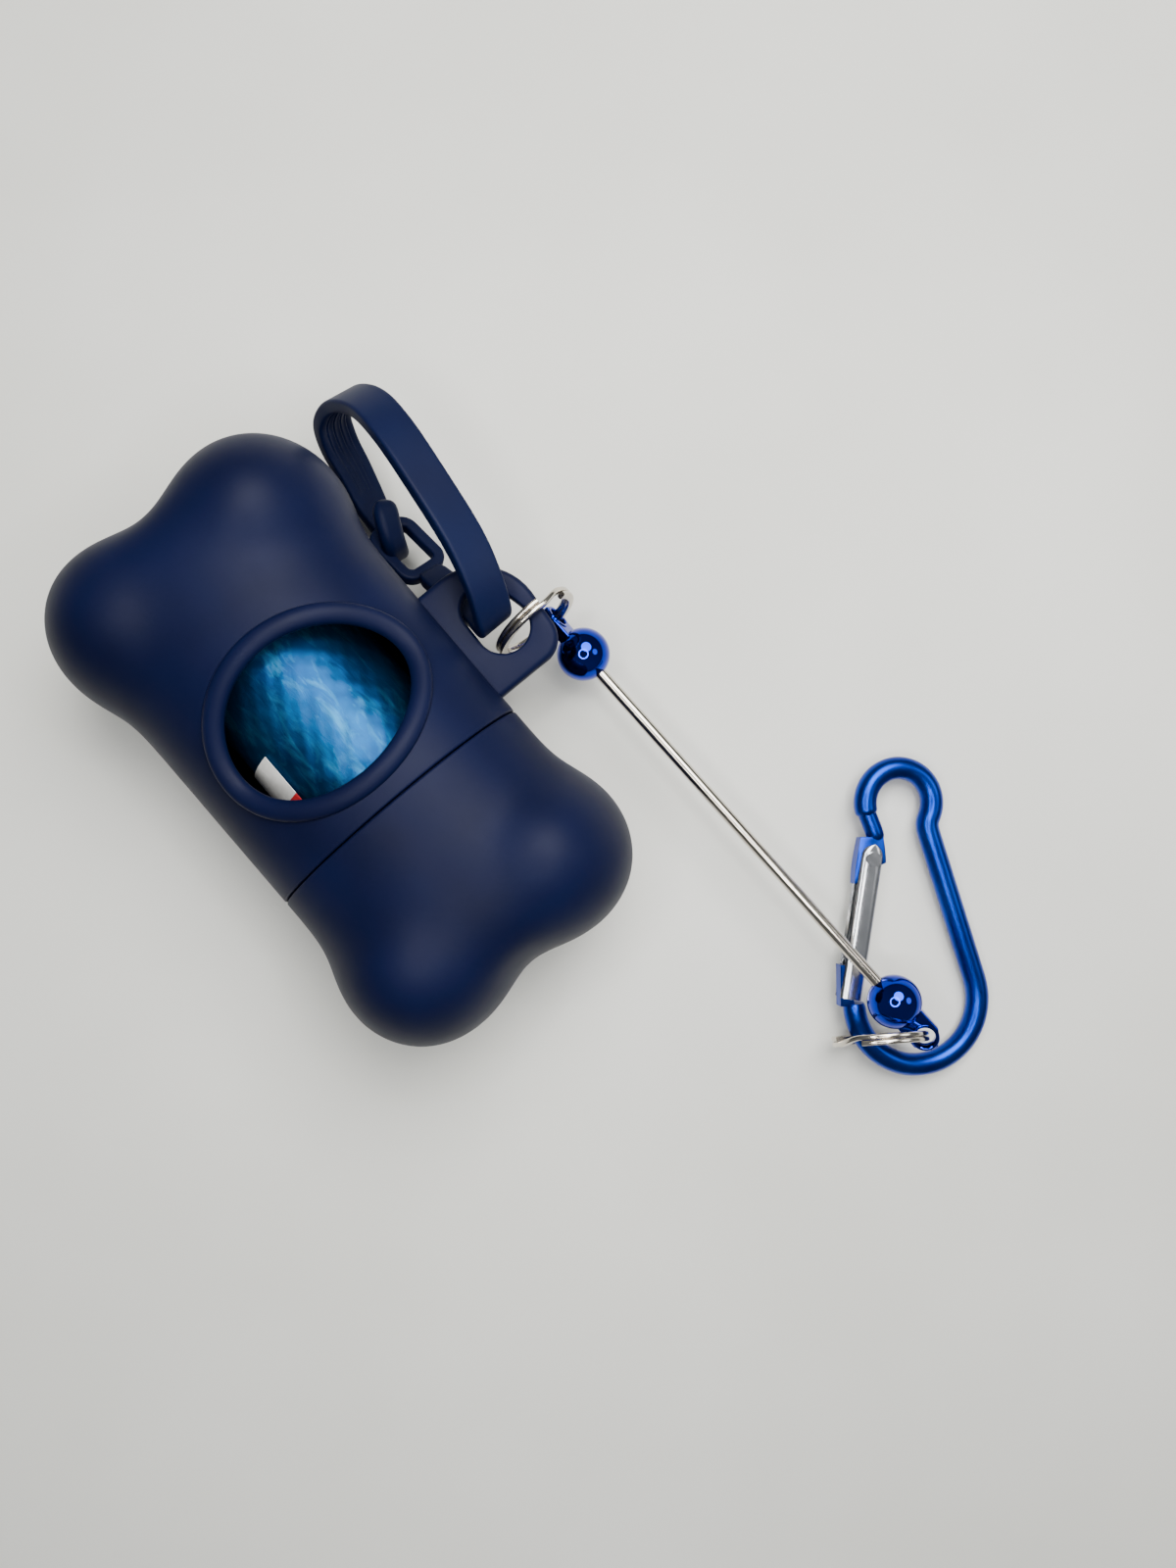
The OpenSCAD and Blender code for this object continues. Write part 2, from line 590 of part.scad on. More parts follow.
module gate_sleeve() {
    gate_foot = gate_over - gate_len;
    color("silver") in_hook() in_gate() difference() {
        union() {
            translate([-gate_w / 2, gate_foot, -gate_h / 2]) cube([gate_w, gate_len - gate_w / 2, gate_h]);
            translate([0, gate_over - gate_w / 2, -gate_h / 2]) cylinder(r = gate_w / 2, h = gate_h);
        }
        // the open channel, then the web cut away round the pivot
        translate([-gate_w, gate_foot - 1, gate_t - gate_h / 2])
            cube([1.5 * gate_w - gate_t, gate_len + 2, gate_h - 2 * gate_t]);
        translate([-gate_w, web_top, gate_t - gate_h / 2]) cube([2 * gate_w, gate_len, gate_h - 2 * gate_t]);
        translate([0, 0, -gate_h]) cylinder(r = rivet_r, h = 2 * gate_h);
    }
    // the wall that the spring bears on
    color("silver") in_hook() in_gate() translate([-seat_w, seat_y, gate_t - gate_h / 2])
        cube([seat_w + gate_w / 2 - gate_t, gate_t, gate_h - 2 * gate_t]);
}
module gate_rivet() {
    color("silver") in_hook() in_gate() union() {
        translate([0, 0, -gate_h / 2]) cylinder(r = rivet_r, h = gate_h);
        for (s = [-1, 1]) translate([0, 0, s * gate_h / 2 - (s < 0 ? rivet_dome : 0)])
            cylinder(r = rivet_head, h = rivet_dome);
    }
}
spring_sides = 6;
spring_steps = 12;
module gate_plunger() {
    color(steel) in_hook() in_gate() translate([plunger_x, plunger_y, 0]) union() {
        sphere(r = plunger_r);
        rotate([90, 0, 0]) cylinder(r = plunger_r, h = plunger_len);
        rotate([90, 0, 0]) cylinder(r = stem_r, h = plunger_len + stem_len);
    }
}
module gate_spring() {
    total = spring_turns * spring_steps;
    path = [for (k = [0:total]) let (a = 360 * k / spring_steps)
        [plunger_x + spring_r * cos(a),
            spring_from - spring_wire - (spring_len - 2 * spring_wire) * k / total,
            spring_r * sin(a)]];
    outward = [for (p = path) [p[0] - plunger_x, 0, p[2]]];
    section = [for (j = [0:spring_sides - 1])
        spring_wire * [cos(360 * j / spring_sides), sin(360 * j / spring_sides)]];
    color(steel) in_hook() in_gate() sweep(path, outward, [for (p = path) section]);
    echo(gap_between_curls = (spring_len - 2 * spring_wire) / spring_turns - 2 * spring_wire);
}

// ---------- the row's origin: the middle of the whole thing's footprint ----------
head_place = from_hook(head_mid);
basket_place = from_hook(basket_mid);
east = head_place[0] + head_r + frame_r;
west = -bone_half_w;
south = basket_place[1] - basket_r - frame_r;
north = bone_half_l;
module row_frame() { translate([-(east + west) / 2, -(north + south) / 2, 0]) children(); }

row_frame() main_shell();
row_frame() end_cap();
row_frame() bag_roll();
row_frame() roll_core();
row_frame() paper_band();
row_frame() strap();
row_frame() upper_split_ring();
row_frame() upper_ball_eye();
row_frame() bead_rod();
row_frame() lower_ball_eye();
row_frame() lower_split_ring();
row_frame() carabiner_frame();
row_frame() gate_sleeve();
row_frame() gate_rivet();
row_frame() gate_spring();
row_frame() gate_plunger();
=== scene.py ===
"""Looks for the bone-shaped bag dispenser: finer meshes, procedural finishes, floor, lights and camera."""
import json
import math

import bpy
import numpy as np
from mathutils import Matrix, Vector


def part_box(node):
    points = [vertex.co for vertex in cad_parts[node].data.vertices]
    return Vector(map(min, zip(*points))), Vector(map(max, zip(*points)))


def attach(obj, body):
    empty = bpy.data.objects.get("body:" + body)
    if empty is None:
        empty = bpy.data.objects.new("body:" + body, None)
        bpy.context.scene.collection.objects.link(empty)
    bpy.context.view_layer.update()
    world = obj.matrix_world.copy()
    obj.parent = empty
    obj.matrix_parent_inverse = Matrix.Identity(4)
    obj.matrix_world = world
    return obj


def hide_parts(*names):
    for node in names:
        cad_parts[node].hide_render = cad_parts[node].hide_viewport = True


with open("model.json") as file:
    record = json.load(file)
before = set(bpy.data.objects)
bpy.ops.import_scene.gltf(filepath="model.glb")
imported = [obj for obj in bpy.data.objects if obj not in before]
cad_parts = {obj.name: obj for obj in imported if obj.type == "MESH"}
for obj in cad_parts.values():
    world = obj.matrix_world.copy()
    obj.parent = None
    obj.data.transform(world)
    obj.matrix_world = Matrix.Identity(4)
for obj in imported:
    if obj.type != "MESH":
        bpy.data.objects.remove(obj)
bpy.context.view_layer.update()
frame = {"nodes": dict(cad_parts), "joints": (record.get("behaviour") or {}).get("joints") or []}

# ---------------------------------------------------------------- sizes, in millimetres
MM = 0.001
LOBE_X, LOBE_Y, LOBE_R, LOBE_H, LOBE_BLEND = 11.3, 30.6, 12.0, 16.8, 4.0
WAIST_A, WAIST_H, WAIST_L, WAIST_POWER, BLEND = 21.0, 17.0, 37.3, 6, 1.5
WALL, CUT_Y, RIM_GAP, RIM_BEVEL = 1.6, -12.3, 0.2, 0.3
COLLAR_LEN, COLLAR_T, COLLAR_GAP = 5.0, 0.9, 0.12
FAN_Y = 22.0
WINDOW_X, WINDOW_Y, WINDOW_A, WINDOW_B = 1.5, 3.1, 13.2, 10.4
BEAD_R, BEAD_H, BEAD_SINK, BEAD_OUT = 1.45, 0.95, 0.1, 1.16
LUG_T, LUG_X, LUG_R, LUG_Y, LUG_CORNER, LUG_EDGE = 3.0, 33.9, 9.2, -0.5, 4.0, 0.9
EYE_R, EYE_TOP_R, EYE_LEN = 3.85, 3.4, 3.45
ROLL_R, ROLL_LEN, CORE_R, CORE_T, CORE_LEN = 13.0, 58.0, 7.0, 0.9, 59.0
PAPER_T, PAPER_W, PAPER_Y, PAPER_FROM, PAPER_TURN = 0.15, 24.0, 4.0, 130.0, 210.0
STRAP_W, STRAP_T, NECK_W, HOOK_W, HOOK_T, TAPER = 6.0, 2.0, 4.6, 3.8, 2.6, 0.4
LINK_W, LINK_LEN, LINK_BAR, LINK_CORNER = 8.4, 10.6, 1.8, 2.6
UPPER_RI, LOWER_RI, WIRE_R, WIRE_A = 5.6, 6.0, 1.2, 0.75
BALL_R, BAR_LEN, ROD_R, TAB_OUT, TAB_W, TAB_T, TAB_HOLE = 4.0, 69.4, 0.9, 6.7, 4.5, 1.8, 1.5
FRAME_R, BASKET_R, HEAD_R, NOSE_R = 1.75, 10.0, 5.4, 1.4
GATE_W, GATE_H, GATE_T, GATE_LEN, GATE_OVER, GATE_GAP = 3.8, 3.4, 0.5, 23.8, 2.3, 0.1


# ---------------------------------------------------------------- places, from the frame
def box_mm(node):
    lo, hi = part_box(node)
    return np.array(lo) / MM, np.array(hi) / MM


shell_hi = box_mm("main_shell")[1]
cap_lo, cap_hi = box_mm("end_cap")
BONE = np.array([(cap_lo[0] + cap_hi[0]) / 2, (cap_lo[1] + shell_hi[1]) / 2, 0.0])
AXIS_Z = (cap_lo[2] + cap_hi[2]) / 2
roll_lo, roll_hi = box_mm("bag_roll")
ROLL_Z = (roll_lo[2] + roll_hi[2]) / 2
JOINTS = {j["name"]: j for j in frame["joints"]}


def joint_at(name):
    return np.array(JOINTS[name]["pos_m"]) / MM - BONE


# ---------------------------------------------------------------- small vector and mesh helpers
def unit(v):
    v = np.asarray(v, float)
    return v / np.linalg.norm(v)


def turn(axis, degrees):
    return np.array(Matrix.Rotation(math.radians(degrees), 3, axis))


def new_mesh(name, verts, faces, body, material, smooth_angle=40.0, place=None):
    """A piece from points in millimetres about the bone's centre; it rides on a CAD body."""
    verts = np.asarray(verts, float)
    if place is not None:
        verts = verts @ place[0].T + place[1]
    mesh = bpy.data.meshes.new(name)
    mesh.from_pydata(((verts + BONE) * MM).tolist(), [], [tuple(int(i) for i in f) for f in faces])
    mesh.validate()
    mesh.update()
    mesh.shade_smooth()
    mesh.set_sharp_from_angle(angle=math.radians(smooth_angle))
    obj = bpy.data.objects.new(name, mesh)
    bpy.context.scene.collection.objects.link(obj)
    mesh.materials.append(material)
    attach(obj, body)
    return obj


def loops_to_faces(count, around, closed_u=True, flip=False):
    """Quads between loops of points that are stored one after the other."""
    faces = []
    for i in range(count - 1):
        for j in range(around if closed_u else around - 1):
            k = (j + 1) % around
            quad = [i * around + j, i * around + k, (i + 1) * around + k, (i + 1) * around + j]
            faces.append(quad[::-1] if flip else quad)
    return faces


def cap_loop(start, around, flip=False):
    loop = list(range(start, start + around))
    return [loop if flip else loop[::-1]]


def join_parts(parts):
    """Joins (verts, faces) pairs into one pair."""
    verts, faces, base = [], [], 0
    for v, f in parts:
        verts.append(np.asarray(v, float))
        faces += [[base + i for i in face] for face in f]
        base += len(v)
    return np.concatenate(verts), faces


def sweep(path, wide, sections, closed=False):
    """A tube through path; sections hold (w, u) points, w along wide and u across it."""
    path, n = np.asarray(path, float), len(path)
    ahead = np.roll(path, -1, 0) if closed else np.vstack([path[1:], path[-1:]])
    behind = np.roll(path, 1, 0) if closed else np.vstack([path[:1], path[:-1]])
    t = ahead - behind
    t /= np.linalg.norm(t, axis=1)[:, None]
    w = np.asarray(wide, float) - (np.asarray(wide) * t).sum(1)[:, None] * t
    w /= np.linalg.norm(w, axis=1)[:, None]
    u = np.cross(t, w)
    s = np.asarray(sections, float)
    if s.ndim == 2:
        s = np.repeat(s[None], n, 0)
    verts = path[:, None] + s[:, :, :1] * w[:, None] + s[:, :, 1:] * u[:, None]
    m = s.shape[1]
    faces = loops_to_faces(n, m)
    if closed:
        faces += [[(n - 1) * m + j, (n - 1) * m + (j + 1) % m, (j + 1) % m, j] for j in range(m)]
    else:
        faces += cap_loop(0, m) + cap_loop((n - 1) * m, m, True)
    return verts.reshape(-1, 3), faces


def circle(radius, count):
    a = np.arange(count) * 2 * math.pi / count
    return np.stack([radius * np.cos(a), radius * np.sin(a)], 1)


def rounded_box(width, height, corner, per_corner=4):
    """Outline of a rectangle with round corners, anticlockwise."""
    out = []
    for k, (sx, sy) in enumerate([(1, 1), (-1, 1), (-1, -1), (1, -1)]):
        for i in range(per_corner + 1):
            a = math.pi / 2 * (k + i / per_corner)
            out.append([sx * (width / 2 - corner) + corner * math.cos(a),
                        sy * (height / 2 - corner) + corner * math.sin(a)])
    return np.array(out)


def rounded_edge(half, edge, count=5):
    """Levels (height, inset) up the side of a plate whose edges are quarter rounds."""
    arc = np.linspace(0, math.pi / 2, count)[::-1]
    low = [(-half + edge * (1 - math.sin(a)), edge * (1 - math.cos(a))) for a in arc]
    return low + [(-z, inset) for z, inset in low[::-1]]


# ---------------------------------------------------------------- the bone's surface
def ellipsoid_field(p, r):
    q = np.linalg.norm(p / r, axis=-1)
    g = np.linalg.norm(p / r ** 2, axis=-1)
    return q * (q - 1) / np.maximum(g, 1e-9)


def blend_min(a, b, k):
    return np.minimum(a, b) - k * np.log1p(np.exp(-np.abs(a - b) / k))


def one_lobe(p, side):
    place = np.stack([p[..., 0] - side * LOBE_X, np.abs(p[..., 1]) - LOBE_Y, p[..., 2]], -1)
    return ellipsoid_field(place, np.array([LOBE_R, LOBE_R, LOBE_H]))


def bone_field(p):
    q = np.hypot(p[..., 0] / WAIST_A, p[..., 2] / WAIST_H)
    f = (q ** WAIST_POWER + (np.abs(p[..., 1]) / WAIST_L) ** WAIST_POWER) ** (1 / WAIST_POWER)
    waist = (f - 1) * (WAIST_A + WAIST_H) / 2
    lobes = blend_min(one_lobe(p, 1), one_lobe(p, -1), LOBE_BLEND)
    return blend_min(waist, lobes, BLEND)


RAY_REACH, HALVINGS = 40.0, 26


def surface(origin, direction, inset=0.0):
    """Where a ray from inside the bone meets its skin, or the level that lies inset below it."""
    origin, direction = np.broadcast_arrays(np.asarray(origin, float), np.asarray(direction, float))
    lo, hi = np.zeros(origin.shape[:-1]), np.full(origin.shape[:-1], RAY_REACH)
    for _ in range(HALVINGS):
        mid = (lo + hi) / 2
        outside = bone_field(origin + mid[..., None] * direction) > -np.asarray(inset)
        hi, lo = np.where(outside, mid, hi), np.where(outside, lo, mid)
    return origin + lo[..., None] * direction + np.array([0, 0, AXIS_Z])


def top_z(x, y, inset=0.0):
    o = np.stack([np.asarray(x, float), np.asarray(y, float), np.zeros_like(x)], -1)
    return surface(o, np.array([0, 0, 1.0]), inset)[..., 2]


def bone_rings(stations, side, around):
    """Rings of points round the bone; a station is (place along it, fan angle, inset)."""
    s = np.array(stations, float)
    theta = np.arange(around) * 2 * math.pi / around
    phi = np.radians(s[:, 1])[:, None]
    d = np.stack([np.cos(phi) * np.cos(theta), side * np.sin(phi) * np.ones_like(theta),
                  np.cos(phi) * np.sin(theta)], -1)
    o = np.zeros_like(d)
    o[..., 1] = s[:, 0][:, None]
    return surface(o, d, s[:, 2][:, None] * np.ones_like(theta))


def skin_mesh(stations, side, around, hole=None):
    """A closed skin from pole to pole, less the faces that hole(centres, inset) picks."""
    rings = bone_rings(stations, side, around)
    verts = rings.reshape(-1, 3)
    pole = np.array([[0, side * FAN_Y, 0.0]])
    ends = [surface(pole, np.array([0, side, 0.0]), stations[k][2]) for k in (0, -1)]
    verts = np.vstack([verts] + ends)
    n, first, last = len(stations), len(verts) - 2, len(verts) - 1
    quads = np.array(loops_to_faces(n, around, flip=side > 0))
    if hole is not None:
        centre = verts[quads].mean(1)
        inset = np.repeat([(stations[i][2] + stations[i + 1][2]) / 2 for i in range(n - 1)], around)
        quads = quads[~hole(centre, inset)]
    faces = quads.tolist()
    for j in range(around):
        k = (j + 1) % around
        a, b = [first, k, j], [last, (n - 1) * around + j, (n - 1) * around + k]
        faces += [a, b] if side < 0 else [a[::-1], b[::-1]]
    return verts, faces


def steps(a, b, size):
    n = max(1, round(abs(b - a) / size))
    return [a + (b - a) * i / n for i in range(n + 1)]


SHELL_RIM, CAP_RIM = CUT_Y + RIM_GAP / 2, CUT_Y - RIM_GAP / 2
SPIGOT_IN = WALL + COLLAR_GAP
AROUND, AROUND_BEAD, AROUND_LUG = 240, 200, 160
LEAST_DOT, FAR = 1e-4, 1e9
POLE, INNER_POLE = 88.5, 87
FAN_STEP, SKIN_STEP, SHELL_INNER_STEP, CAP_INNER_STEP, INNER_FAN_STEP = 1.5, 0.55, 1.1, 1.5, 3
COLLAR_ROOT, COLLAR_LEAD = 1.2, 0.2
EYE_RIM, EYE_DROP, EYE_SKEW, EYE_EDGE = 2.5, 1.65, 0.35, 0.5
TIP_IN, TIP_UP, ROOT_R, ROOT_SINK = 0.5, 0.2, 0.6, 0.8


def in_window(centre, inset):
    a, b = WINDOW_A + BEAD_R, WINDOW_B + BEAD_OUT
    q = np.hypot((centre[:, 0] - WINDOW_X) / a, (centre[:, 1] - WINDOW_Y) / b)
    return (q < np.where(inset > WALL / 2, 1.03, 1.0)) & (centre[:, 2] > AXIS_Z)


def rim_arc(rim, side):
    """The rim's bevel, a quarter round from the outside to the rim's flat."""
    return [(rim + side * RIM_BEVEL * (1 - math.sin(a)), 0, RIM_BEVEL * (1 - math.cos(a)))
            for a in np.linspace(0, math.pi / 2, 5)]


def bead_ring():
    t = np.arange(AROUND_BEAD) * 2 * math.pi / AROUND_BEAD
    x = WINDOW_X + (WINDOW_A + BEAD_R) * np.cos(t)
    y = WINDOW_Y + (WINDOW_B + BEAD_OUT) * np.sin(t)
    path = np.stack([x, y, top_z(x, y) - BEAD_SINK], 1)
    section = circle(BEAD_R, 28)
    section[:, 0] *= np.where(section[:, 0] > 0, BEAD_H / BEAD_R, 1.0)
    return sweep(path, np.tile([0, 0, 1.0], (AROUND_BEAD, 1)), section, closed=True)


def lug_plate():
    """The lug with its egg-shaped eye; both outlines are sampled by angle round the eye."""
    eye = np.array([LUG_X - EYE_RIM - EYE_R, LUG_Y - EYE_DROP])
    discs = [(LUG_X - LUG_R, LUG_Y, LUG_R),
             (LUG_X - TIP_IN - LUG_CORNER, LUG_Y - LUG_R + LUG_CORNER - TIP_UP, LUG_CORNER),
             (WAIST_A - ROOT_SINK, LUG_Y + LUG_R - ROOT_R, ROOT_R),
             (WAIST_A - ROOT_SINK, LUG_Y - LUG_R + ROOT_R, ROOT_R)]
    eyes = [(eye[0], eye[1], EYE_R), (eye[0] - EYE_SKEW, eye[1] + EYE_LEN, EYE_TOP_R)]
    middle = eye + [-0.15, EYE_LEN / 2]
    angles = np.arange(AROUND_LUG) * 2 * math.pi / AROUND_LUG

    def outline(shapes, grow):
        """Distance to the hull of some discs along each angle, from its support lines."""
        s = np.linspace(0, 2 * math.pi, 1441)[:-1]
        nrm = np.stack([np.cos(s), np.sin(s)], 1)
        support = np.max([nrm @ (np.array(c[:2]) - middle) + c[2] + grow for c in shapes], axis=0)
        ray = np.stack([np.cos(angles), np.sin(angles)], 1)
        dot = ray @ nrm.T
        reach = np.where(dot > LEAST_DOT, support / np.maximum(dot, LEAST_DOT), FAR).min(1)
        return middle + ray * reach[:, None]

    levels = rounded_edge(LUG_T / 2, LUG_EDGE, 7)
    rings = [np.column_stack([outline(discs, -inset), np.full(AROUND_LUG, z)]) for z, inset in levels]
    rings += [np.column_stack([outline(eyes, inset * EYE_EDGE), np.full(AROUND_LUG, z)])
              for z, inset in levels[::-1]]
    rings.append(rings[0])
    verts = np.concatenate(rings) + [0, 0, AXIS_Z]
    return verts, loops_to_faces(len(rings), AROUND_LUG)


def shell_mesh():
    stations = [(FAN_Y, p, 0) for p in steps(POLE, 0, FAN_STEP)]
    stations += [(y, 0, 0) for y in steps(FAN_Y, SHELL_RIM + RIM_BEVEL, SKIN_STEP)[1:-1]]
    stations += rim_arc(SHELL_RIM, 1) + [(SHELL_RIM, 0, WALL)]
    stations += [(y, 0, WALL) for y in steps(SHELL_RIM, FAN_Y, SHELL_INNER_STEP)[1:]]
    stations += [(FAN_Y, p, WALL) for p in steps(0, INNER_POLE, INNER_FAN_STEP)[1:]]
    return join_parts([skin_mesh(stations, 1, AROUND, in_window), bead_ring(), lug_plate()])


def cap_mesh():
    root = CAP_RIM - COLLAR_ROOT
    stations = [(-FAN_Y, p, 0) for p in steps(POLE, 0, FAN_STEP)]
    stations += [(y, 0, 0) for y in steps(-FAN_Y, CAP_RIM - RIM_BEVEL, SKIN_STEP)[1:-1]]
    stations += rim_arc(CAP_RIM, -1) + [(CAP_RIM, 0, SPIGOT_IN)]
    stations += [(CAP_RIM + COLLAR_LEN - COLLAR_LEAD, 0, SPIGOT_IN),
                 (CAP_RIM + COLLAR_LEN, 0, SPIGOT_IN + COLLAR_LEAD)]
    stations += [(CAP_RIM + COLLAR_LEN, 0, SPIGOT_IN + COLLAR_T), (root, 0, SPIGOT_IN + COLLAR_T)]
    stations += [(root, 0, WALL)] + [(y, 0, WALL) for y in steps(root, -FAN_Y, CAP_INNER_STEP)[1:]]
    stations += [(-FAN_Y, p, WALL) for p in steps(0, INNER_POLE, INNER_FAN_STEP)[1:]]
    return skin_mesh(stations, -1, AROUND)


# ---------------------------------------------------------------- the strap
LINK_LEAN, EYE_LEAN, TOP_LEAN = 28.0, 8.0, 18.0
STRAP_ROUTE = np.array([  # place, width and lean of the band
    [24.6, 12.9, 8.4, NECK_W, LINK_LEAN], [25.1, 10, 9.8, NECK_W, LINK_LEAN],
    [25.6, 6.4, 11.6, NECK_W, TOP_LEAN], [26.2, 2, 14.6, NECK_W, EYE_LEAN],
    [26.6, -0.6, 17.9, 5.2, EYE_LEAN], [27.4, -0.5, 21.2, 5.6, EYE_LEAN],
    [29.2, 3.2, 24, 5.6, TOP_LEAN], [31, 9.5, 25.3, STRAP_W, LINK_LEAN],
    [32.4, 19, 25.9, STRAP_W, LINK_LEAN], [33.3, 27, 25, STRAP_W, LINK_LEAN],
    [33.2, 33, 22, STRAP_W, LINK_LEAN], [31.3, 37, 17.8, STRAP_W, LINK_LEAN],
    [28.6, 37.8, 13.4, STRAP_W, LINK_LEAN], [27, 35.6, 10, STRAP_W, LINK_LEAN],
    [26, 31.6, 7.6, 5.6, LINK_LEAN], [24.9, 27.6, 5.6, 5.2, LINK_LEAN],
    [24.1, 23.8, 4.4, 4.2, LINK_LEAN], [23.5, 20.8, 4.2, HOOK_W, LINK_LEAN],
    [22.9, 18.4, 6.6, HOOK_W, LINK_LEAN], [23.6, 19.2, 9.9, HOOK_W, LINK_LEAN],
    [25, 21.8, 11.3, HOOK_W, LINK_LEAN], [26.4, 24.4, 11, HOOK_W, LINK_LEAN]])
LINK_MID, LINK_RISE, LINK_EDGE = np.array([24.3, 17.5, 7.4]), -9.0, 0.4
RIB_H, RIB_PITCH, RIBBED_FROM = 0.14, 0.62, 5.3
BAND_CORNER, PEG_CORNER, END_ROUNDS = 0.45, 0.7, 7
CORNER_STEPS = 8
AROUND_LINK = 4 * (CORNER_STEPS + 1)


def spline(points, per_step):
    """A smooth curve through the points, with even steps between each pair."""
    p = np.vstack([points[:1], points, points[-1:]])
    t = (np.arange(per_step) / per_step)[:, None]
    out = []
    for a, b, c, d in zip(p[:-3], p[1:-2], p[2:-1], p[3:]):
        square, cube = 2 * a - 5 * b + 4 * c - d, 3 * b - a - 3 * c + d
        out.append(0.5 * (2 * b + (c - a) * t + square * t * t + cube * t ** 3))
    return np.vstack(out + [points[-1:]])


def band_section(width, thick, rib, corner):
    """The band's outline: round corners, and fine ribs along the inner face when rib is set."""
    w, t = width / 2, thick / 2
    arc = [(corner * (1 - math.cos(a)), corner * (1 - math.sin(a))) for a in np.linspace(0, math.pi / 2, 6)]
    flat = np.linspace(-(w - corner), w - corner, 22)[1:-1]
    ribs = RIB_H * rib * (0.5 + 0.5 * np.cos(flat / RIB_PITCH * 2 * math.pi))
    ribs = ribs * (np.abs(flat) < w - 2 * corner)
    outer = [[w - x, t - y] for x, y in arc]
    top = [[x, t - r] for x, r in zip(flat[::-1], ribs[::-1])]
    left = [[x - w, t - y] for x, y in arc[::-1]] + [[x - w, y - t] for x, y in arc]
    low = [[x, -t] for x in flat]
    right = [[w - x, y - t] for x, y in arc[::-1]]
    return outer + top + left + low + right


def strap_mesh():
    route = spline(STRAP_ROUTE, 9)
    n = len(route)
    lean = np.radians(route[:, 4])
    wide = np.stack([np.cos(lean), np.zeros(n), -np.sin(lean)], 1)
    end = np.minimum(np.arange(n), np.arange(n)[::-1])
    shrink = np.minimum(np.sqrt(1 - (1 - (end + 0.6) / END_ROUNDS).clip(0, 1) ** 2), 1.0)
    peg = ((HOOK_W + TAPER - route[:, 3]) / TAPER).clip(0, 1)
    sections = []
    for w, k, s in zip(route[:, 3], peg, shrink):
        thick, rib = STRAP_T + (HOOK_T - STRAP_T) * k, 1.0 if w > RIBBED_FROM else 0.0
        sections.append(np.array(band_section(w, thick, rib, BAND_CORNER + PEG_CORNER * k)) * s)
    band = sweep(route[:, :3], wide, sections)
    tilt = turn("Y", LINK_LEAN) @ turn("X", LINK_RISE)
    side = rounded_edge(STRAP_T / 2, LINK_EDGE)
    levels = []
    for z, i in side + [(z, LINK_BAR - i) for z, i in side[::-1]]:
        loop = rounded_box(LINK_W - 2 * i, LINK_LEN - 2 * i, LINK_CORNER - i, CORNER_STEPS)
        levels.append(np.column_stack([loop, np.full(AROUND_LINK, z)]))
    levels.append(levels[0])
    link = np.concatenate(levels) @ tilt.T + LINK_MID
    return join_parts([band, (link, loops_to_faces(len(levels), AROUND_LINK))])


# ---------------------------------------------------------------- the split rings
def ring_mesh(middle, radius, h, v, start):
    """One flat wire wound round twice; its two turns lie nearly face to face."""
    per_turn, sweep_deg, cross_over, turn_gap, corner = 96, 680.0, 0.055, 0.07, 0.26
    t = np.linspace(0, 1, 2 * per_turn + 1)
    a = np.radians(start + sweep_deg * t)
    e = np.clip((t - 0.5) / cross_over + 0.5, 0, 1)
    pitch = WIRE_A + turn_gap
    s = pitch * (e * e * (3 - 2 * e) - 0.5)
    out = np.cos(a)[:, None] * h + np.sin(a)[:, None] * v
    path = middle + radius * out + s[:, None] * np.cross(h, v)
    return sweep(path, out, rounded_box(WIRE_R, WIRE_A, corner))


# ---------------------------------------------------------------- the roll, its core and the paper band
FOLDS = ((7.5, 1.25, 0.42, 0.34), (-1.5, 1.52, 0.36, 0.34), (16.5, 1.5, 2, 0.16), (-10.5, 1.5, 2, 0.16))
CREASE_Y, CREASE_ANGLE = -0.5, 1.61


def hump(x, width, power=2):
    return np.exp(-(x / width) ** power)


def film_height(angle, y):
    """Creases of the wound film: folds round it (place, angle, reach, depth), dents and wrinkles."""
    dents = 0.10 * np.sin(2.1 * angle + 0.33 * y) * np.sin(0.23 * y + 1.3)
    dents = dents + 0.07 * np.sin(5.3 * angle - 0.21 * y + 0.7)
    fine = 0.035 * np.sin(17 * angle + 0.9 * np.sin(0.6 * y)) * np.sin(0.8 * y + 2 * np.sin(angle))
    fine = fine + 0.02 * np.sin(31 * angle + 1.7 * y) + 0.02 * np.sin(23 * angle - 2.3 * y)
    folds = 0
    for place, middle, reach, depth in FOLDS:
        at = y - place - 0.5 * np.sin(1.5 * (angle - middle))
        profile = 0.45 * hump(at - 0.62, 0.4) - hump(at, 0.2)
        folds = folds + depth * hump(angle - middle, reach, 4) * profile
    at = (angle - CREASE_ANGLE) * ROLL_R + 0.12 * (y - CREASE_Y)
    crease = hump(y - CREASE_Y, 3.1, 6) * (0.14 * hump(at - 0.6, 0.35) - 0.28 * hump(at, 0.2))
    return dents + fine + folds + crease


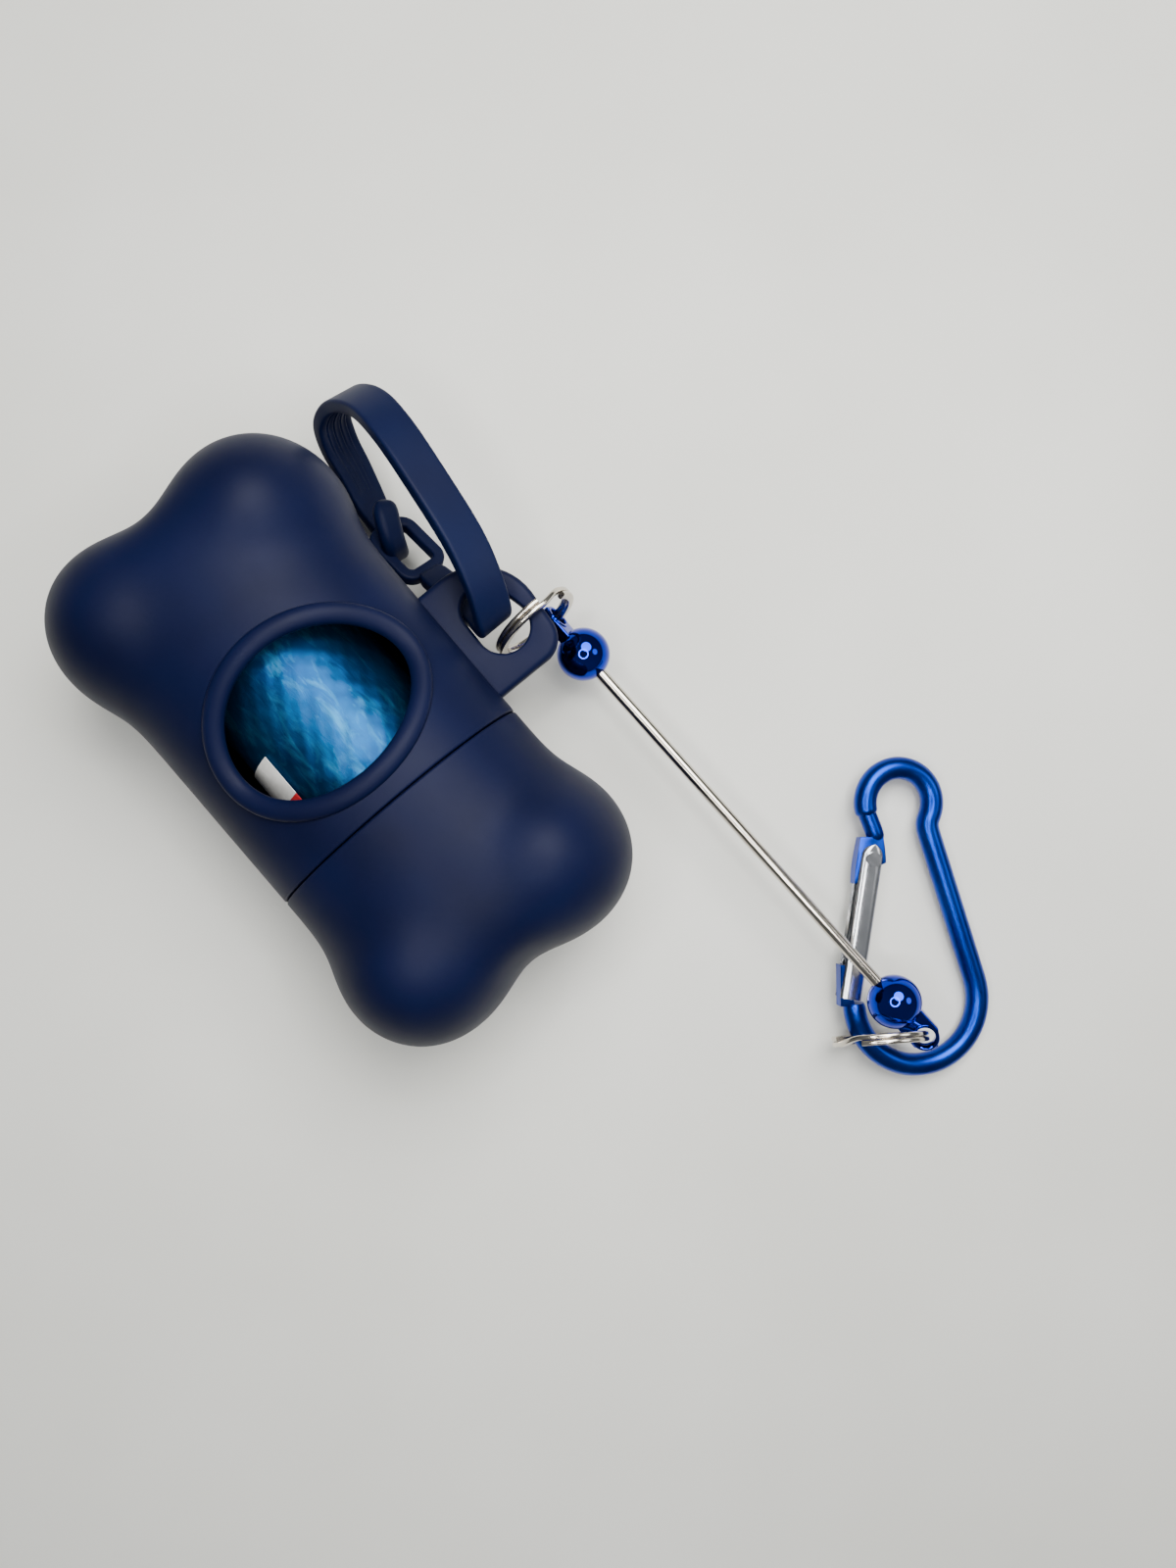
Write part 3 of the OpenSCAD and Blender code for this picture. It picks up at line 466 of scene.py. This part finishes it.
def roll_mesh():
    """The wound film: a creased skin, wound ends, and the free edge of the outer turn."""
    around, along, end_rings = 288, 174, 30
    seam, turn_step, film_in, skin_gap = math.radians(215), 0.16, 0.42, 0.01
    a = seam + np.arange(around) * 2 * math.pi / around
    y = np.linspace(-ROLL_LEN / 2, ROLL_LEN / 2, along)
    step = turn_step * ((a - seam) / (2 * math.pi))
    edge = 0.35 * np.exp(-((ROLL_LEN / 2 - np.abs(y)) / 0.35) ** 2)
    r = ROLL_R - film_in + step[None, :] + film_height(a[None, :], y[:, None]) * 0.8 - edge[:, None]
    r = np.minimum(r, ROLL_R - skin_gap)
    loops = [np.stack([r[i] * np.cos(a), np.full(around, y[i]), r[i] * np.sin(a)], 1) for i in range(along)]
    radii = np.linspace(ROLL_R - 0.9, CORE_R + 0.02, end_rings)

    def end(side):
        rings = []
        for k, rad in enumerate(radii):
            turn_r = rad + 0.2 * (a - seam) / (2 * math.pi)
            lift = side * (ROLL_LEN / 2 - 0.18 - 0.16 * (k % 2) - 0.05 * np.sin(3 * a + k))
            rings.append(np.stack([turn_r * np.cos(a), lift, turn_r * np.sin(a)], 1))
        return rings

    rings = end(-1)[::-1] + loops + end(1)
    verts = np.concatenate(rings) + [0, 0, ROLL_Z]
    n = len(rings)
    last = (n - 1) * around
    bore = [[j, (j + 1) % around, last + (j + 1) % around, last + j] for j in range(around)]
    return verts, loops_to_faces(n, around, flip=True) + bore


def core_mesh():
    """A spiral-wound cardboard tube with slightly soft ends."""
    around, soft_r, soft_y = 128, 0.15, 0.1
    a = np.arange(around) * 2 * math.pi / around
    profile = [(CORE_R - CORE_T, -CORE_LEN / 2 + soft_y), (CORE_R - CORE_T + soft_r, -CORE_LEN / 2),
               (CORE_R - soft_r, -CORE_LEN / 2), (CORE_R, -CORE_LEN / 2 + soft_y)]
    profile += [(r, -y) for r, y in profile[::-1]]
    profile.append(profile[0])
    rings = [np.stack([r * np.cos(a), np.full(around, y), r * np.sin(a)], 1) for r, y in profile]
    return np.concatenate(rings) + [0, 0, ROLL_Z], loops_to_faces(len(rings), around, flip=True)


def paper_mesh():
    """The paper band wound round the roll: thin and a little wavy."""
    around, along, shown_t = 150, 60, 0.07
    a = np.radians(PAPER_FROM + PAPER_TURN * np.linspace(0, 1, around))
    y = PAPER_Y - PAPER_W * np.linspace(0, 1, along)
    wave = 0.03 * np.sin(3.1 * a[None, :] + 0.25 * y[:, None]) + 0.02 * np.sin(7 * a[None, :])
    top = ROLL_R + PAPER_T - 0.04 + wave * 0.7
    out = []
    for r in (top, top - shown_t):
        out.append(np.stack([r * np.cos(a), np.repeat(y[:, None], around, 1), r * np.sin(a)], -1))
    quads = [[i * around + j, i * around + j + 1, (i + 1) * around + j + 1, (i + 1) * around + j]
             for i in range(along - 1) for j in range(around - 1)]
    outer, inner = (sheet.reshape(-1, 3) + [0, 0, ROLL_Z] for sheet in out)
    return thicken(outer, inner, quads)


# ---------------------------------------------------------------- the bead bar's balls and eyes
BAR_TURN, BAR_PITCH = 1.24, -1.4
BAR_ROTATION = turn("Z", BAR_TURN) @ turn("X", BAR_PITCH)
UPPER_EYE = joint_at("bar_swing")
BAR_START = UPPER_EYE - BAR_ROTATION @ [0, TAB_OUT, 0]
LOWER_BALL = BAR_START - BAR_ROTATION @ [0, BAR_LEN, 0]
LOWER_EYE = BAR_START - BAR_ROTATION @ [0, BAR_LEN + TAB_OUT, 0]


def ball_mesh(side, roll, bore):
    """A round ball with a flat neck for the bar and a diamond-ended eye tab on the other side."""
    around, around_tab, bore_depth, bore_lip = 96, 120, 2.0, 0.1
    a = np.arange(around) * 2 * math.pi / around
    mouth = math.asin(bore / BALL_R)
    tilt = np.linspace(mouth, math.pi - 0.01, 64)
    profile = [(bore, BALL_R * math.cos(mouth) - depth) for depth in (bore_depth, bore_lip)]
    profile += [(BALL_R * math.sin(t), BALL_R * math.cos(t)) for t in tilt]
    rings = [np.stack([r * np.cos(a), np.full(around, -side * y), r * np.sin(a)], 1) for r, y in profile]
    ball = (np.concatenate(rings), loops_to_faces(len(rings), around, flip=side < 0))
    base, cheek, tip, half, point = BALL_R - 1.2, TAB_OUT + 0.3, TAB_OUT + 2.2, TAB_W / 2, 0.6
    shape = np.array([[-half, base], [half, base], [half, cheek],
                      [point, tip], [-point, tip], [-half, cheek]])
    angle = np.arange(around_tab) * 2 * math.pi / around_tab
    ray = np.stack([np.cos(angle), np.sin(angle)], 1)

    def outline(inset):
        p, reach = shape - [0, TAB_OUT], np.full(around_tab, FAR)
        for u, v in zip(p, np.roll(p, -1, 0)):
            nrm = unit([v[1] - u[1], u[0] - v[0]])
            dot = ray @ nrm
            here = (u @ nrm - inset) / np.maximum(dot, LEAST_DOT)
            reach = np.where(dot > LEAST_DOT, np.minimum(reach, here), reach)
        return ray * reach[:, None]

    edge, t, rim = 0.22, TAB_T / 2, 0.45
    loops = [np.column_stack([outline(i), np.full(around_tab, z)]) for z, i in rounded_edge(t, edge)]
    collar = [(t, TAB_HOLE + rim + 0.12), (t + 0.16, TAB_HOLE + rim), (t + 0.2, TAB_HOLE + 0.25),
              (t + 0.12, TAB_HOLE + 0.06), (t - 0.05, TAB_HOLE)]
    collar += [(-z, r) for z, r in collar[::-1]]
    loops += [np.column_stack([ray * r, np.full(around_tab, z)]) for z, r in collar]
    loops.append(loops[0])
    tab = np.concatenate(loops) + [0, TAB_OUT, 0]
    if side < 0:
        tab = tab * [-1, -1, 1]
    tab = tab @ turn("Y", roll).T
    return join_parts([ball, (tab, loops_to_faces(len(loops), around_tab))])


# ---------------------------------------------------------------- the snap hook, flat in its own frame
HOOK_ROLL, HOOK_TURN, GATE_LEAN = 8.0, -39.0, -10.5
BASKET_MID, HEAD_MID, KINK = np.array([-0.75, -12.75]), np.array([-2.75, 17.7]), np.array([1.55, 14.4])
PIVOT, NOSE_END = np.array([-7.7, 9.2]), np.array([-6.37, 12.13])
HEAD_TO, NOSE_FROM, WEB_TOP = 198.0, 190.0, -2.5
BLADE_FOOT, BLADE_W, SMOOTHINGS = np.array([-12.1, -13.0]), 2.2, 14
HOOK_ROTATION = turn("Z", HOOK_TURN) @ turn("Y", HOOK_ROLL)
HOOK_AT = joint_at("gate_open") - HOOK_ROTATION @ [PIVOT[0], PIVOT[1], 0]
GATE_ROTATION = HOOK_ROTATION @ turn("Z", GATE_LEAN)
GATE_AT = joint_at("gate_open")


def plate(outline, half, edge=0.12):
    """A flat plate with slightly broken edges from an anticlockwise outline."""
    p = np.array(outline, float)
    mid = p.mean(0)
    loops = [np.column_stack([mid + (p - mid) * (1 - e), np.full(len(p), z)])
             for z, e in ((-half, edge), (-half + edge, 0), (half - edge, 0), (half, edge))]
    n = len(p)
    return np.concatenate(loops), loops_to_faces(4, n) + [list(range(n))[::-1], list(range(3 * n, 4 * n))]


def arc_points(middle, radius, start, end, count=96):
    return [middle + radius * np.array([math.cos(t), math.sin(t)]) for t in np.linspace(start, end, count)]


def flat_tube(path, radii):
    """A round tube through a path that lies flat in the hook's own frame."""
    n = len(path)
    sections = np.array([circle(r, 32) for r in radii])
    return sweep(np.column_stack([path, np.zeros(n)]), np.tile([0, 0, 1.0], (n, 1)), sections)


def hook_mesh():
    """The frame: one bent wire from the wide end round the spine and the head to the thin nose."""
    run = KINK - BASKET_MID
    side = math.atan2(run[1], run[0]) - math.acos(BASKET_R / np.linalg.norm(run))
    head_from = math.atan2(KINK[1] - HEAD_MID[1], KINK[0] - HEAD_MID[0])
    basket = arc_points(BASKET_MID, BASKET_R, -math.pi, side)
    neck = np.linspace(basket[-1], KINK, 60)[1:]
    head = arc_points(HEAD_MID, HEAD_R, head_from, math.radians(HEAD_TO))
    path = np.vstack([basket, neck, head[1:]])
    for _ in range(SMOOTHINGS):
        path[1:-1] = 0.25 * path[:-2] + 0.5 * path[1:-1] + 0.25 * path[2:]
    radius = np.full(len(path), FRAME_R)
    for k, f in enumerate((0.86, 0.95, 0.99)):
        radius[k] *= f
    for k, f in enumerate((0.8, 0.92, 0.98)):
        radius[-1 - k] *= f
    wire = flat_tube(path, radius)
    nose_from = math.radians(NOSE_FROM)
    nose = np.linspace(arc_points(HEAD_MID, HEAD_R, nose_from, nose_from, 1)[0], NOSE_END, 12)
    thin = flat_tube(nose, NOSE_R * np.concatenate([np.ones(9), [0.98, 0.93, 0.8]]))
    half = GATE_H / 2 - GATE_T - GATE_GAP
    tab = plate([[-1.6, 3.4], [-2.2, 0.8], [-2.6, -1.4], [-2.8, -3.6], [-1.7, -3.4], [-1, -2.1],
                 [0.4, -1.9], [1.4, -1], [2.3, -0.6], [2.3, 0.3], [2.2, 1.8], [2, 3.4]], half)
    blade = plate([[0, 0], [BLADE_W, 0], [1.9, 6], [0.1, 6.3]], half)
    return join_parts([wire, thin, (tab[0] + [PIVOT[0], PIVOT[1], 0], tab[1]),
                       (blade[0] + [BLADE_FOOT[0] - BLADE_W / 2, BLADE_FOOT[1], 0], blade[1])])


def thicken(outer, inner, quads):
    """Closes the gap between two sheets of matching points: both faces and a rim along open edges."""
    n, edges = len(outer), {}
    for q in quads:
        for a, b in zip(q, q[1:] + q[:1]):
            edges[(a, b)] = True
    rim = [[b, a, n + a, n + b] for a, b in edges if (b, a) not in edges]
    return np.concatenate([outer, inner]), quads + [[n + k for k in q[::-1]] for q in quads] + rim


def gate_mesh():
    """The folded sheet gate: a rounded channel, its web cut away round the rivet, with a round end."""
    fold, web, power, skin, rows_long = 152, math.radians(38), 0.62, 0.02, 30
    columns = np.radians(np.linspace(fold, -fold, 65))
    foot, top = GATE_OVER - GATE_LEN, GATE_OVER
    rows = np.concatenate([np.linspace(foot, WEB_TOP, rows_long),
                           np.linspace(WEB_TOP, top - GATE_W / 2, 6)[1:],
                           top - GATE_W / 2 * (1 - np.sin(np.linspace(0, 1.5, 12)[1:]))])
    narrow = np.sqrt(1 - ((rows - top + GATE_W / 2) / (GATE_W / 2)).clip(0, 1) ** 2).clip(0.06, 1)
    sheets = []
    for cut in (skin, GATE_T * 0.8):
        a, b = GATE_W / 2 - cut, GATE_H / 2 - cut
        x = a * np.sign(np.cos(columns)) * np.abs(np.cos(columns)) ** power
        z = b * np.sign(np.sin(columns)) * np.abs(np.sin(columns)) ** power
        sheets.append(np.stack([narrow[:, None] * x, np.repeat(rows[:, None], len(columns), 1),
                                np.repeat(z[None], len(rows), 0)], -1).reshape(-1, 3))
    quads, m = [], len(columns)
    for i in range(len(rows) - 1):
        for j in range(m - 1):
            if rows[i] < WEB_TOP - 0.01 or abs(columns[j] + columns[j + 1]) / 2 > web:
                quads.append([i * m + j, (i + 1) * m + j, (i + 1) * m + j + 1, i * m + j + 1])
    return thicken(sheets[0], sheets[1], quads)


# ---------------------------------------------------------------- procedural finishes
def srgb(*rgb):
    out = [(c / 255 / 12.92) if c / 255 <= 0.04045 else ((c / 255 + 0.055) / 1.055) ** 2.4 for c in rgb]
    return tuple(out) + (1.0,)


class Finish:
    """A procedural material: small helpers over its node tree, in object coordinates."""

    def __init__(self, name, metallic=0.0, coat=0.0, coat_rough=0.1, specular=0.5, ior=1.5):
        self.material = bpy.data.materials.new(name)
        self.material.use_nodes = True
        self.tree = self.material.node_tree
        self.shader = next(n for n in self.tree.nodes if n.type == "BSDF_PRINCIPLED")
        for key, value in (("Metallic", metallic), ("Coat Weight", coat), ("Coat Roughness", coat_rough),
                           ("Specular IOR Level", specular), ("IOR", ior)):
            self.shader.inputs[key].default_value = value
        self.coords = self.tree.nodes.new("ShaderNodeTexCoord").outputs["Object"]

    def link(self, out, socket):
        self.tree.links.new(out, socket)

    def mapped(self, scale, rotation=(0, 0, 0), location=(0, 0, 0)):
        node = self.tree.nodes.new("ShaderNodeMapping")
        node.inputs["Scale"].default_value = scale
        node.inputs["Rotation"].default_value = rotation
        node.inputs["Location"].default_value = location
        self.link(self.coords, node.inputs["Vector"])
        return node.outputs["Vector"]

    def noise(self, size_mm, detail=3.0, rough=0.5, vector=None, distortion=0.0):
        node = self.tree.nodes.new("ShaderNodeTexNoise")
        node.inputs["Scale"].default_value = 1.0 / (size_mm * MM)
        node.inputs["Detail"].default_value = detail
        node.inputs["Roughness"].default_value = rough
        node.inputs["Distortion"].default_value = distortion
        self.link(vector or self.coords, node.inputs["Vector"])
        return node.outputs["Fac"]

    def ramp(self, fac, *stops):
        node = self.tree.nodes.new("ShaderNodeValToRGB")
        bar = node.color_ramp.elements
        while len(bar) < len(stops):
            bar.new(0.5)
        for element, (place, colour) in zip(bar, stops):
            element.position = place
            element.color = colour if isinstance(colour, tuple) else (colour, colour, colour, 1)
        self.link(fac, node.inputs["Fac"])
        return node.outputs["Color"]

    def mix(self, fac, a, b, mode="MIX"):
        node = self.tree.nodes.new("ShaderNodeMix")
        node.data_type = "RGBA"
        node.blend_type = mode
        for key, value in (("Factor", fac), ("A", a), ("B", b)):
            socket = next(s for s in node.inputs if s.name == key and (key == "Factor" or s.type == "RGBA"))
            if isinstance(value, bpy.types.NodeSocket):
                self.link(value, socket)
            else:
                socket.default_value = value
        return next(s for s in node.outputs if s.type == "RGBA")

    def math(self, kind, a, b=0.0, c=0.0):
        node = self.tree.nodes.new("ShaderNodeMath")
        node.operation = kind
        for socket, value in zip(node.inputs, (a, b, c)):
            if isinstance(value, bpy.types.NodeSocket):
                self.link(value, socket)
            else:
                socket.default_value = value
        return node.outputs[0]

    def axes(self):
        node = self.tree.nodes.new("ShaderNodeSeparateXYZ")
        self.link(self.coords, node.inputs[0])
        return node.outputs

    def colour(self, out):
        if isinstance(out, tuple):
            self.shader.inputs["Base Color"].default_value = out
        else:
            self.link(out, self.shader.inputs["Base Color"])

    def rough(self, fac, low, high):
        node = self.tree.nodes.new("ShaderNodeMapRange")
        node.inputs["To Min"].default_value = low
        node.inputs["To Max"].default_value = high
        self.link(fac, node.inputs["Value"])
        self.link(node.outputs[0], self.shader.inputs["Roughness"])

    def bump(self, height, depth_mm, strength=1.0, after=None):
        node = self.tree.nodes.new("ShaderNodeBump")
        node.inputs["Strength"].default_value = strength
        node.inputs["Distance"].default_value = depth_mm * MM
        self.link(height, node.inputs["Height"])
        if after is not None:
            self.link(after, node.inputs["Normal"])
        self.link(node.outputs[0], self.shader.inputs["Normal"])
        return node.outputs[0]


def moulded(name, dark, light, low, high, grain_mm):
    """Satin moulded plastic: faint flow marks, a fine grain and slightly uneven gloss."""
    f = Finish(name, specular=0.1, ior=1.49)
    f.colour(f.ramp(f.noise(16, 2), (0.3, dark), (0.75, light)))
    f.rough(f.noise(5, 4, 0.6), low, high)
    first = f.bump(f.noise(grain_mm, 3, 0.6), 0.012, 0.6)
    f.bump(f.noise(9, 2), 0.10, 0.35, first)
    return f


def metal(name, dark, light, low, high, streak=(1, 1, 1), size=1.5, depth=0.004):
    """Plated or anodised metal: slightly uneven tone and gloss along the drawn direction."""
    f = Finish(name, metallic=1.0)
    along = f.mapped(streak)
    f.colour(f.ramp(f.noise(6, 3), (0.3, dark), (0.8, light)))
    f.rough(f.noise(size, 4, 0.6, along), low, high)
    f.bump(f.noise(size * 0.5, 3, 0.5, along), depth, 0.5)
    return f


FINISHES = {
    "navy_plastic": moulded("navy_plastic", srgb(6, 11, 38), srgb(9, 16, 48), 0.44, 0.56, 0.35),
    "strap_plastic": moulded("strap_plastic", srgb(8, 15, 44), srgb(11, 21, 54), 0.42, 0.52, 0.3),
    "nickel_wire": metal("nickel_wire", srgb(196, 188, 176), srgb(224, 218, 208), 0.1, 0.24),
    "nickel_rod": metal("nickel_rod", srgb(190, 182, 170), srgb(222, 216, 206), 0.1, 0.22, (1, 0.08, 1)),
    "blue_chrome": metal("blue_chrome", srgb(8, 34, 150), srgb(14, 52, 190), 0.03, 0.08,
                         size=3, depth=0.002),
    "blue_anodised": metal("blue_anodised", srgb(12, 44, 140), srgb(22, 64, 168), 0.24, 0.36,
                           size=0.6, depth=0.006),
    "bright_gate": metal("bright_gate", srgb(196, 198, 202), srgb(228, 229, 232), 0.14, 0.28,
                         (1, 0.1, 1), 0.8),
    "spring_wire": metal("spring_wire", srgb(150, 150, 150), srgb(190, 188, 184), 0.2, 0.35),
}


def film_finish():
    """Wound polythene film: cyan blue, glossy, with pale streaks of painted sheen along its creases, in the
    colour of the lit film's highlight.
    """
    f = Finish("blue_film", metallic=0.92, coat=0.05, coat_rough=0.2, specular=0.4, ior=1.5)
    # stretched noise that places the painted sheen streaks
    painted_sheen_streaks = f.noise(1.8, 5, 0.65, f.mapped((1, 0.3, 1)), 0.6)
    base = f.ramp(f.noise(9, 3), (0.3, srgb(3, 50, 96)), (0.75, srgb(12, 80, 130)))
    # painted sheen: the base colour is mixed up to 0.4 towards the lit film's highlight colour along the
    # streaks
    f.colour(f.mix(f.ramp(painted_sheen_streaks, (0.5, 0.0), (0.68, 0.4)), base, srgb(50, 132, 172)))
    f.rough(f.noise(3, 4), 0.4, 0.52)
    first = f.bump(f.noise(1.1, 5, 0.6, f.mapped((1, 0.35, 1)), 0.8), 0.08, 0.6)
    f.bump(f.noise(4.5, 3, 0.5), 0.2, 0.45, first)
    return f


SPIRAL_PITCH, STRIPE_Y, STRIPE_HALF = 9, -3.6, 1.2


def card_finish():
    """Spiral-wound cardboard with short fibres."""
    f = Finish("cardboard", specular=0.25)
    x, y = f.axes()[:2]
    slanted = f.math("ADD", y, f.math("MULTIPLY", x, 0.6))
    spiral = f.math("SINE", f.math("MULTIPLY", slanted, 2 * math.pi / (SPIRAL_PITCH * MM)))
    fibre = f.noise(0.5, 5, 0.7, f.mapped((1, 0.3, 1)))
    base = f.ramp(fibre, (0.3, srgb(150, 122, 88)), (0.75, srgb(184, 156, 118)))
    f.colour(f.mix(f.ramp(spiral, (0.92, 0.0), (0.99, 0.45)), base, srgb(118, 92, 62)))
    f.rough(fibre, 0.75, 0.95)
    f.bump(fibre, 0.05, 0.6)
    return f


def paper_finish():
    """Coated paper with one plain red stripe that runs round the roll."""
    f = Finish("white_paper", specular=0.35)
    y = f.axes()[1]
    fibre = f.noise(0.7, 4, 0.6)
    base = f.ramp(fibre, (0.3, srgb(222, 221, 216)), (0.7, srgb(238, 237, 233)))
    place = f.math("ABSOLUTE", f.math("SUBTRACT", y, float((BONE[1] + STRIPE_Y) * MM)))
    stripe = f.math("LESS_THAN", place, STRIPE_HALF * MM)
    f.colour(f.mix(stripe, base, srgb(196, 40, 48)))
    f.rough(fibre, 0.45, 0.6)
    f.bump(f.noise(3, 3), 0.05, 0.5)
    return f


FINISHES["blue_film"] = film_finish()
FINISHES["cardboard"] = card_finish()
FINISHES["white_paper"] = paper_finish()


# ---------------------------------------------------------------- the pieces on their bodies
def piece(name, mesh, body, slot, nodes, angle=35.0, place=None):
    obj = new_mesh(name, mesh[0], mesh[1], body, FINISHES[slot].material, angle, place)
    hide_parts(*nodes)
    return obj


piece("bone_shell", shell_mesh(), "dispenser", "navy_plastic", ["main_shell"], 50)
piece("bone_cap", cap_mesh(), "cap", "navy_plastic", ["end_cap"], 50)
piece("film_roll", roll_mesh(), "roll", "blue_film", ["bag_roll"], 60)
piece("card_core", core_mesh(), "roll", "cardboard", ["roll_core"])
piece("paper_label", paper_mesh(), "roll", "white_paper", ["paper_band"])
piece("moulded_strap", strap_mesh(), "strap", "strap_plastic", ["strap"], 30)

UPPER_LEAN, LOWER_LEAN = math.radians(9), math.radians(12)
UPPER_HANG, LOWER_HANG = math.radians(-65), math.radians(24)
UPPER_R, LOWER_R = UPPER_RI + WIRE_R / 2, LOWER_RI + WIRE_R / 2
UPPER_START, LOWER_START = 73, 165


def ring_mid(eye, radius, hang, h, v):
    return eye - radius * (math.cos(hang) * h + math.sin(hang) * v)


UPPER_H, UPPER_V = np.array([1.0, 0, 0]), np.array([0, math.sin(UPPER_LEAN), math.cos(UPPER_LEAN)])
UPPER_MID = ring_mid(UPPER_EYE, UPPER_R, UPPER_HANG, UPPER_H, UPPER_V)
piece("upper_ring_coil", ring_mesh(UPPER_MID, UPPER_R, UPPER_H, UPPER_V, UPPER_START),
      "upper_ring", "nickel_wire", ["upper_split_ring"])
LOWER_H = unit([0.8055, -0.592, 0])
LOWER_V = np.array([-LOWER_H[1] * math.sin(LOWER_LEAN), LOWER_H[0] * math.sin(LOWER_LEAN),
                    math.cos(LOWER_LEAN)])
LOWER_MID = ring_mid(LOWER_EYE, LOWER_R, LOWER_HANG, LOWER_H, LOWER_V)
piece("lower_ring_coil", ring_mesh(LOWER_MID, LOWER_R, LOWER_H, LOWER_V, LOWER_START),
      "lower_ring", "nickel_wire", ["lower_split_ring"])

UPPER_ROLL, LOWER_ROLL, ROD_GAP = 70, -15, 0.05
piece("upper_ball", ball_mesh(1, UPPER_ROLL, ROD_R), "bead_bar", "blue_chrome", ["upper_ball_eye"],
      place=(BAR_ROTATION, BAR_START))
piece("lower_ball", ball_mesh(-1, LOWER_ROLL, ROD_R + ROD_GAP), "screw_ball", "blue_chrome",
      ["lower_ball_eye"], place=(BAR_ROTATION, LOWER_BALL))
piece("hook_wire", hook_mesh(), "snap_hook", "blue_anodised", ["carabiner_frame"],
      place=(HOOK_ROTATION, HOOK_AT))
piece("gate_channel", gate_mesh(), "gate", "bright_gate", ["gate_sleeve"], 40,
      place=(GATE_ROTATION, GATE_AT))

for node, slot in (("bead_rod", "nickel_rod"), ("gate_rivet", "bright_gate"),
                   ("gate_spring", "spring_wire"), ("gate_plunger", "spring_wire")):
    obj = frame["nodes"][node]
    obj.data.materials.clear()
    obj.data.materials.append(FINISHES[slot].material)

# ---------------------------------------------------------------- floor, lights, camera
CAMERA_AT, LENS, SENSOR = [22.232, -26.984, 185], 27.06, 36.0
EYE = Vector(((BONE + CAMERA_AT) * MM).tolist())
VIEW_TURN = math.radians(-40.5)
UP = Vector((-math.sin(VIEW_TURN), math.cos(VIEW_TURN), 0))
RIGHT = Vector((math.cos(VIEW_TURN), math.sin(VIEW_TURN), 0))

floor_mesh = bpy.data.meshes.new("floor")
FLOOR_HALF = 3
corners = [(-1, -1), (1, -1), (1, 1), (-1, 1)]
floor_mesh.from_pydata([(x * FLOOR_HALF, y * FLOOR_HALF, 0) for x, y in corners], [], [(0, 1, 2, 3)])
floor = bpy.data.objects.new("floor", floor_mesh)
bpy.context.scene.collection.objects.link(floor)
table = Finish("floor_card", specular=0.25)
table.colour(table.ramp(table.noise(60, 3), (0.35, srgb(214, 214, 207)), (0.7, srgb(222, 222, 216))))
table.rough(table.noise(2, 3), 0.6, 0.75)
table.bump(table.noise(1.2, 3), 0.02, 0.3)
floor_mesh.materials.append(table.material)


def area_light(name, place, target, size, power, colour=(1, 1, 1)):
    data = bpy.data.lights.new(name, "AREA")
    data.shape = "ELLIPSE"
    data.size, data.size_y, data.energy, data.color = size[0], size[1], power, colour
    obj = bpy.data.objects.new(name, data)
    obj.location = place
    obj.rotation_euler = (Vector(target) - Vector(place)).to_track_quat("-Z", "Y").to_euler()
    bpy.context.scene.collection.objects.link(obj)
    return obj


def ring_light(name, place, radius, width, strength):
    """A thin glowing ring that faces down, like the ring lamp round a camera."""
    around = 72
    loops = [np.column_stack([circle(r, around), np.zeros(around)])
             for r in (radius - width / 2, radius + width / 2)]
    mesh = bpy.data.meshes.new(name)
    mesh.from_pydata(np.concatenate(loops).tolist(), [], loops_to_faces(2, around))
    material = bpy.data.materials.new(name)
    material.use_nodes = True
    tree = material.node_tree
    tree.nodes.clear()
    glow, out = tree.nodes.new("ShaderNodeEmission"), tree.nodes.new("ShaderNodeOutputMaterial")
    glow.inputs["Strength"].default_value = strength
    tree.links.new(glow.outputs[0], out.inputs["Surface"])
    mesh.materials.append(material)
    obj = bpy.data.objects.new(name, mesh)
    obj.location = place
    bpy.context.scene.collection.objects.link(obj)
    return obj


LAMP_ABOVE, LAMP_R, LAMP_W, LAMP_STRENGTH = 0.012, 0.066, 0.012, 30.0
KEY_POWER, SIDE_POWER, WORLD_STRENGTH = 2.7, 0.8, 0.17
PANEL = (0.3, 0.3)
ring_light("lamp_ring", EYE + Vector((0, 0, LAMP_ABOVE)), LAMP_R, LAMP_W, LAMP_STRENGTH)
area_light("key", UP * 0.2 + RIGHT * 0.08 + Vector((0, 0, 0.36)), UP * 0.05, PANEL,
           KEY_POWER, (1, 0.99, 0.97))
area_light("side", RIGHT * 0.6 + UP * 0.1 + Vector((0, 0, 0.5)), (0, 0, 0), PANEL, SIDE_POWER)

world = bpy.data.worlds.new("studio")
bpy.context.scene.world = world
world.use_nodes = True
background = next(n for n in world.node_tree.nodes if n.type == "BACKGROUND")
background.inputs["Color"].default_value = (0.86, 0.9, 0.95, 1)
background.inputs["Strength"].default_value = WORLD_STRENGTH

camera_data = bpy.data.cameras.new("camera")
camera = bpy.data.objects.new("camera", camera_data)
bpy.context.scene.collection.objects.link(camera)
bpy.context.scene.camera = camera
camera.location = EYE
camera.rotation_euler = (0, 0, VIEW_TURN)
camera_data.lens, camera_data.sensor_width = LENS, SENSOR
camera_data.clip_start, camera_data.clip_end = 0.001, 20.0
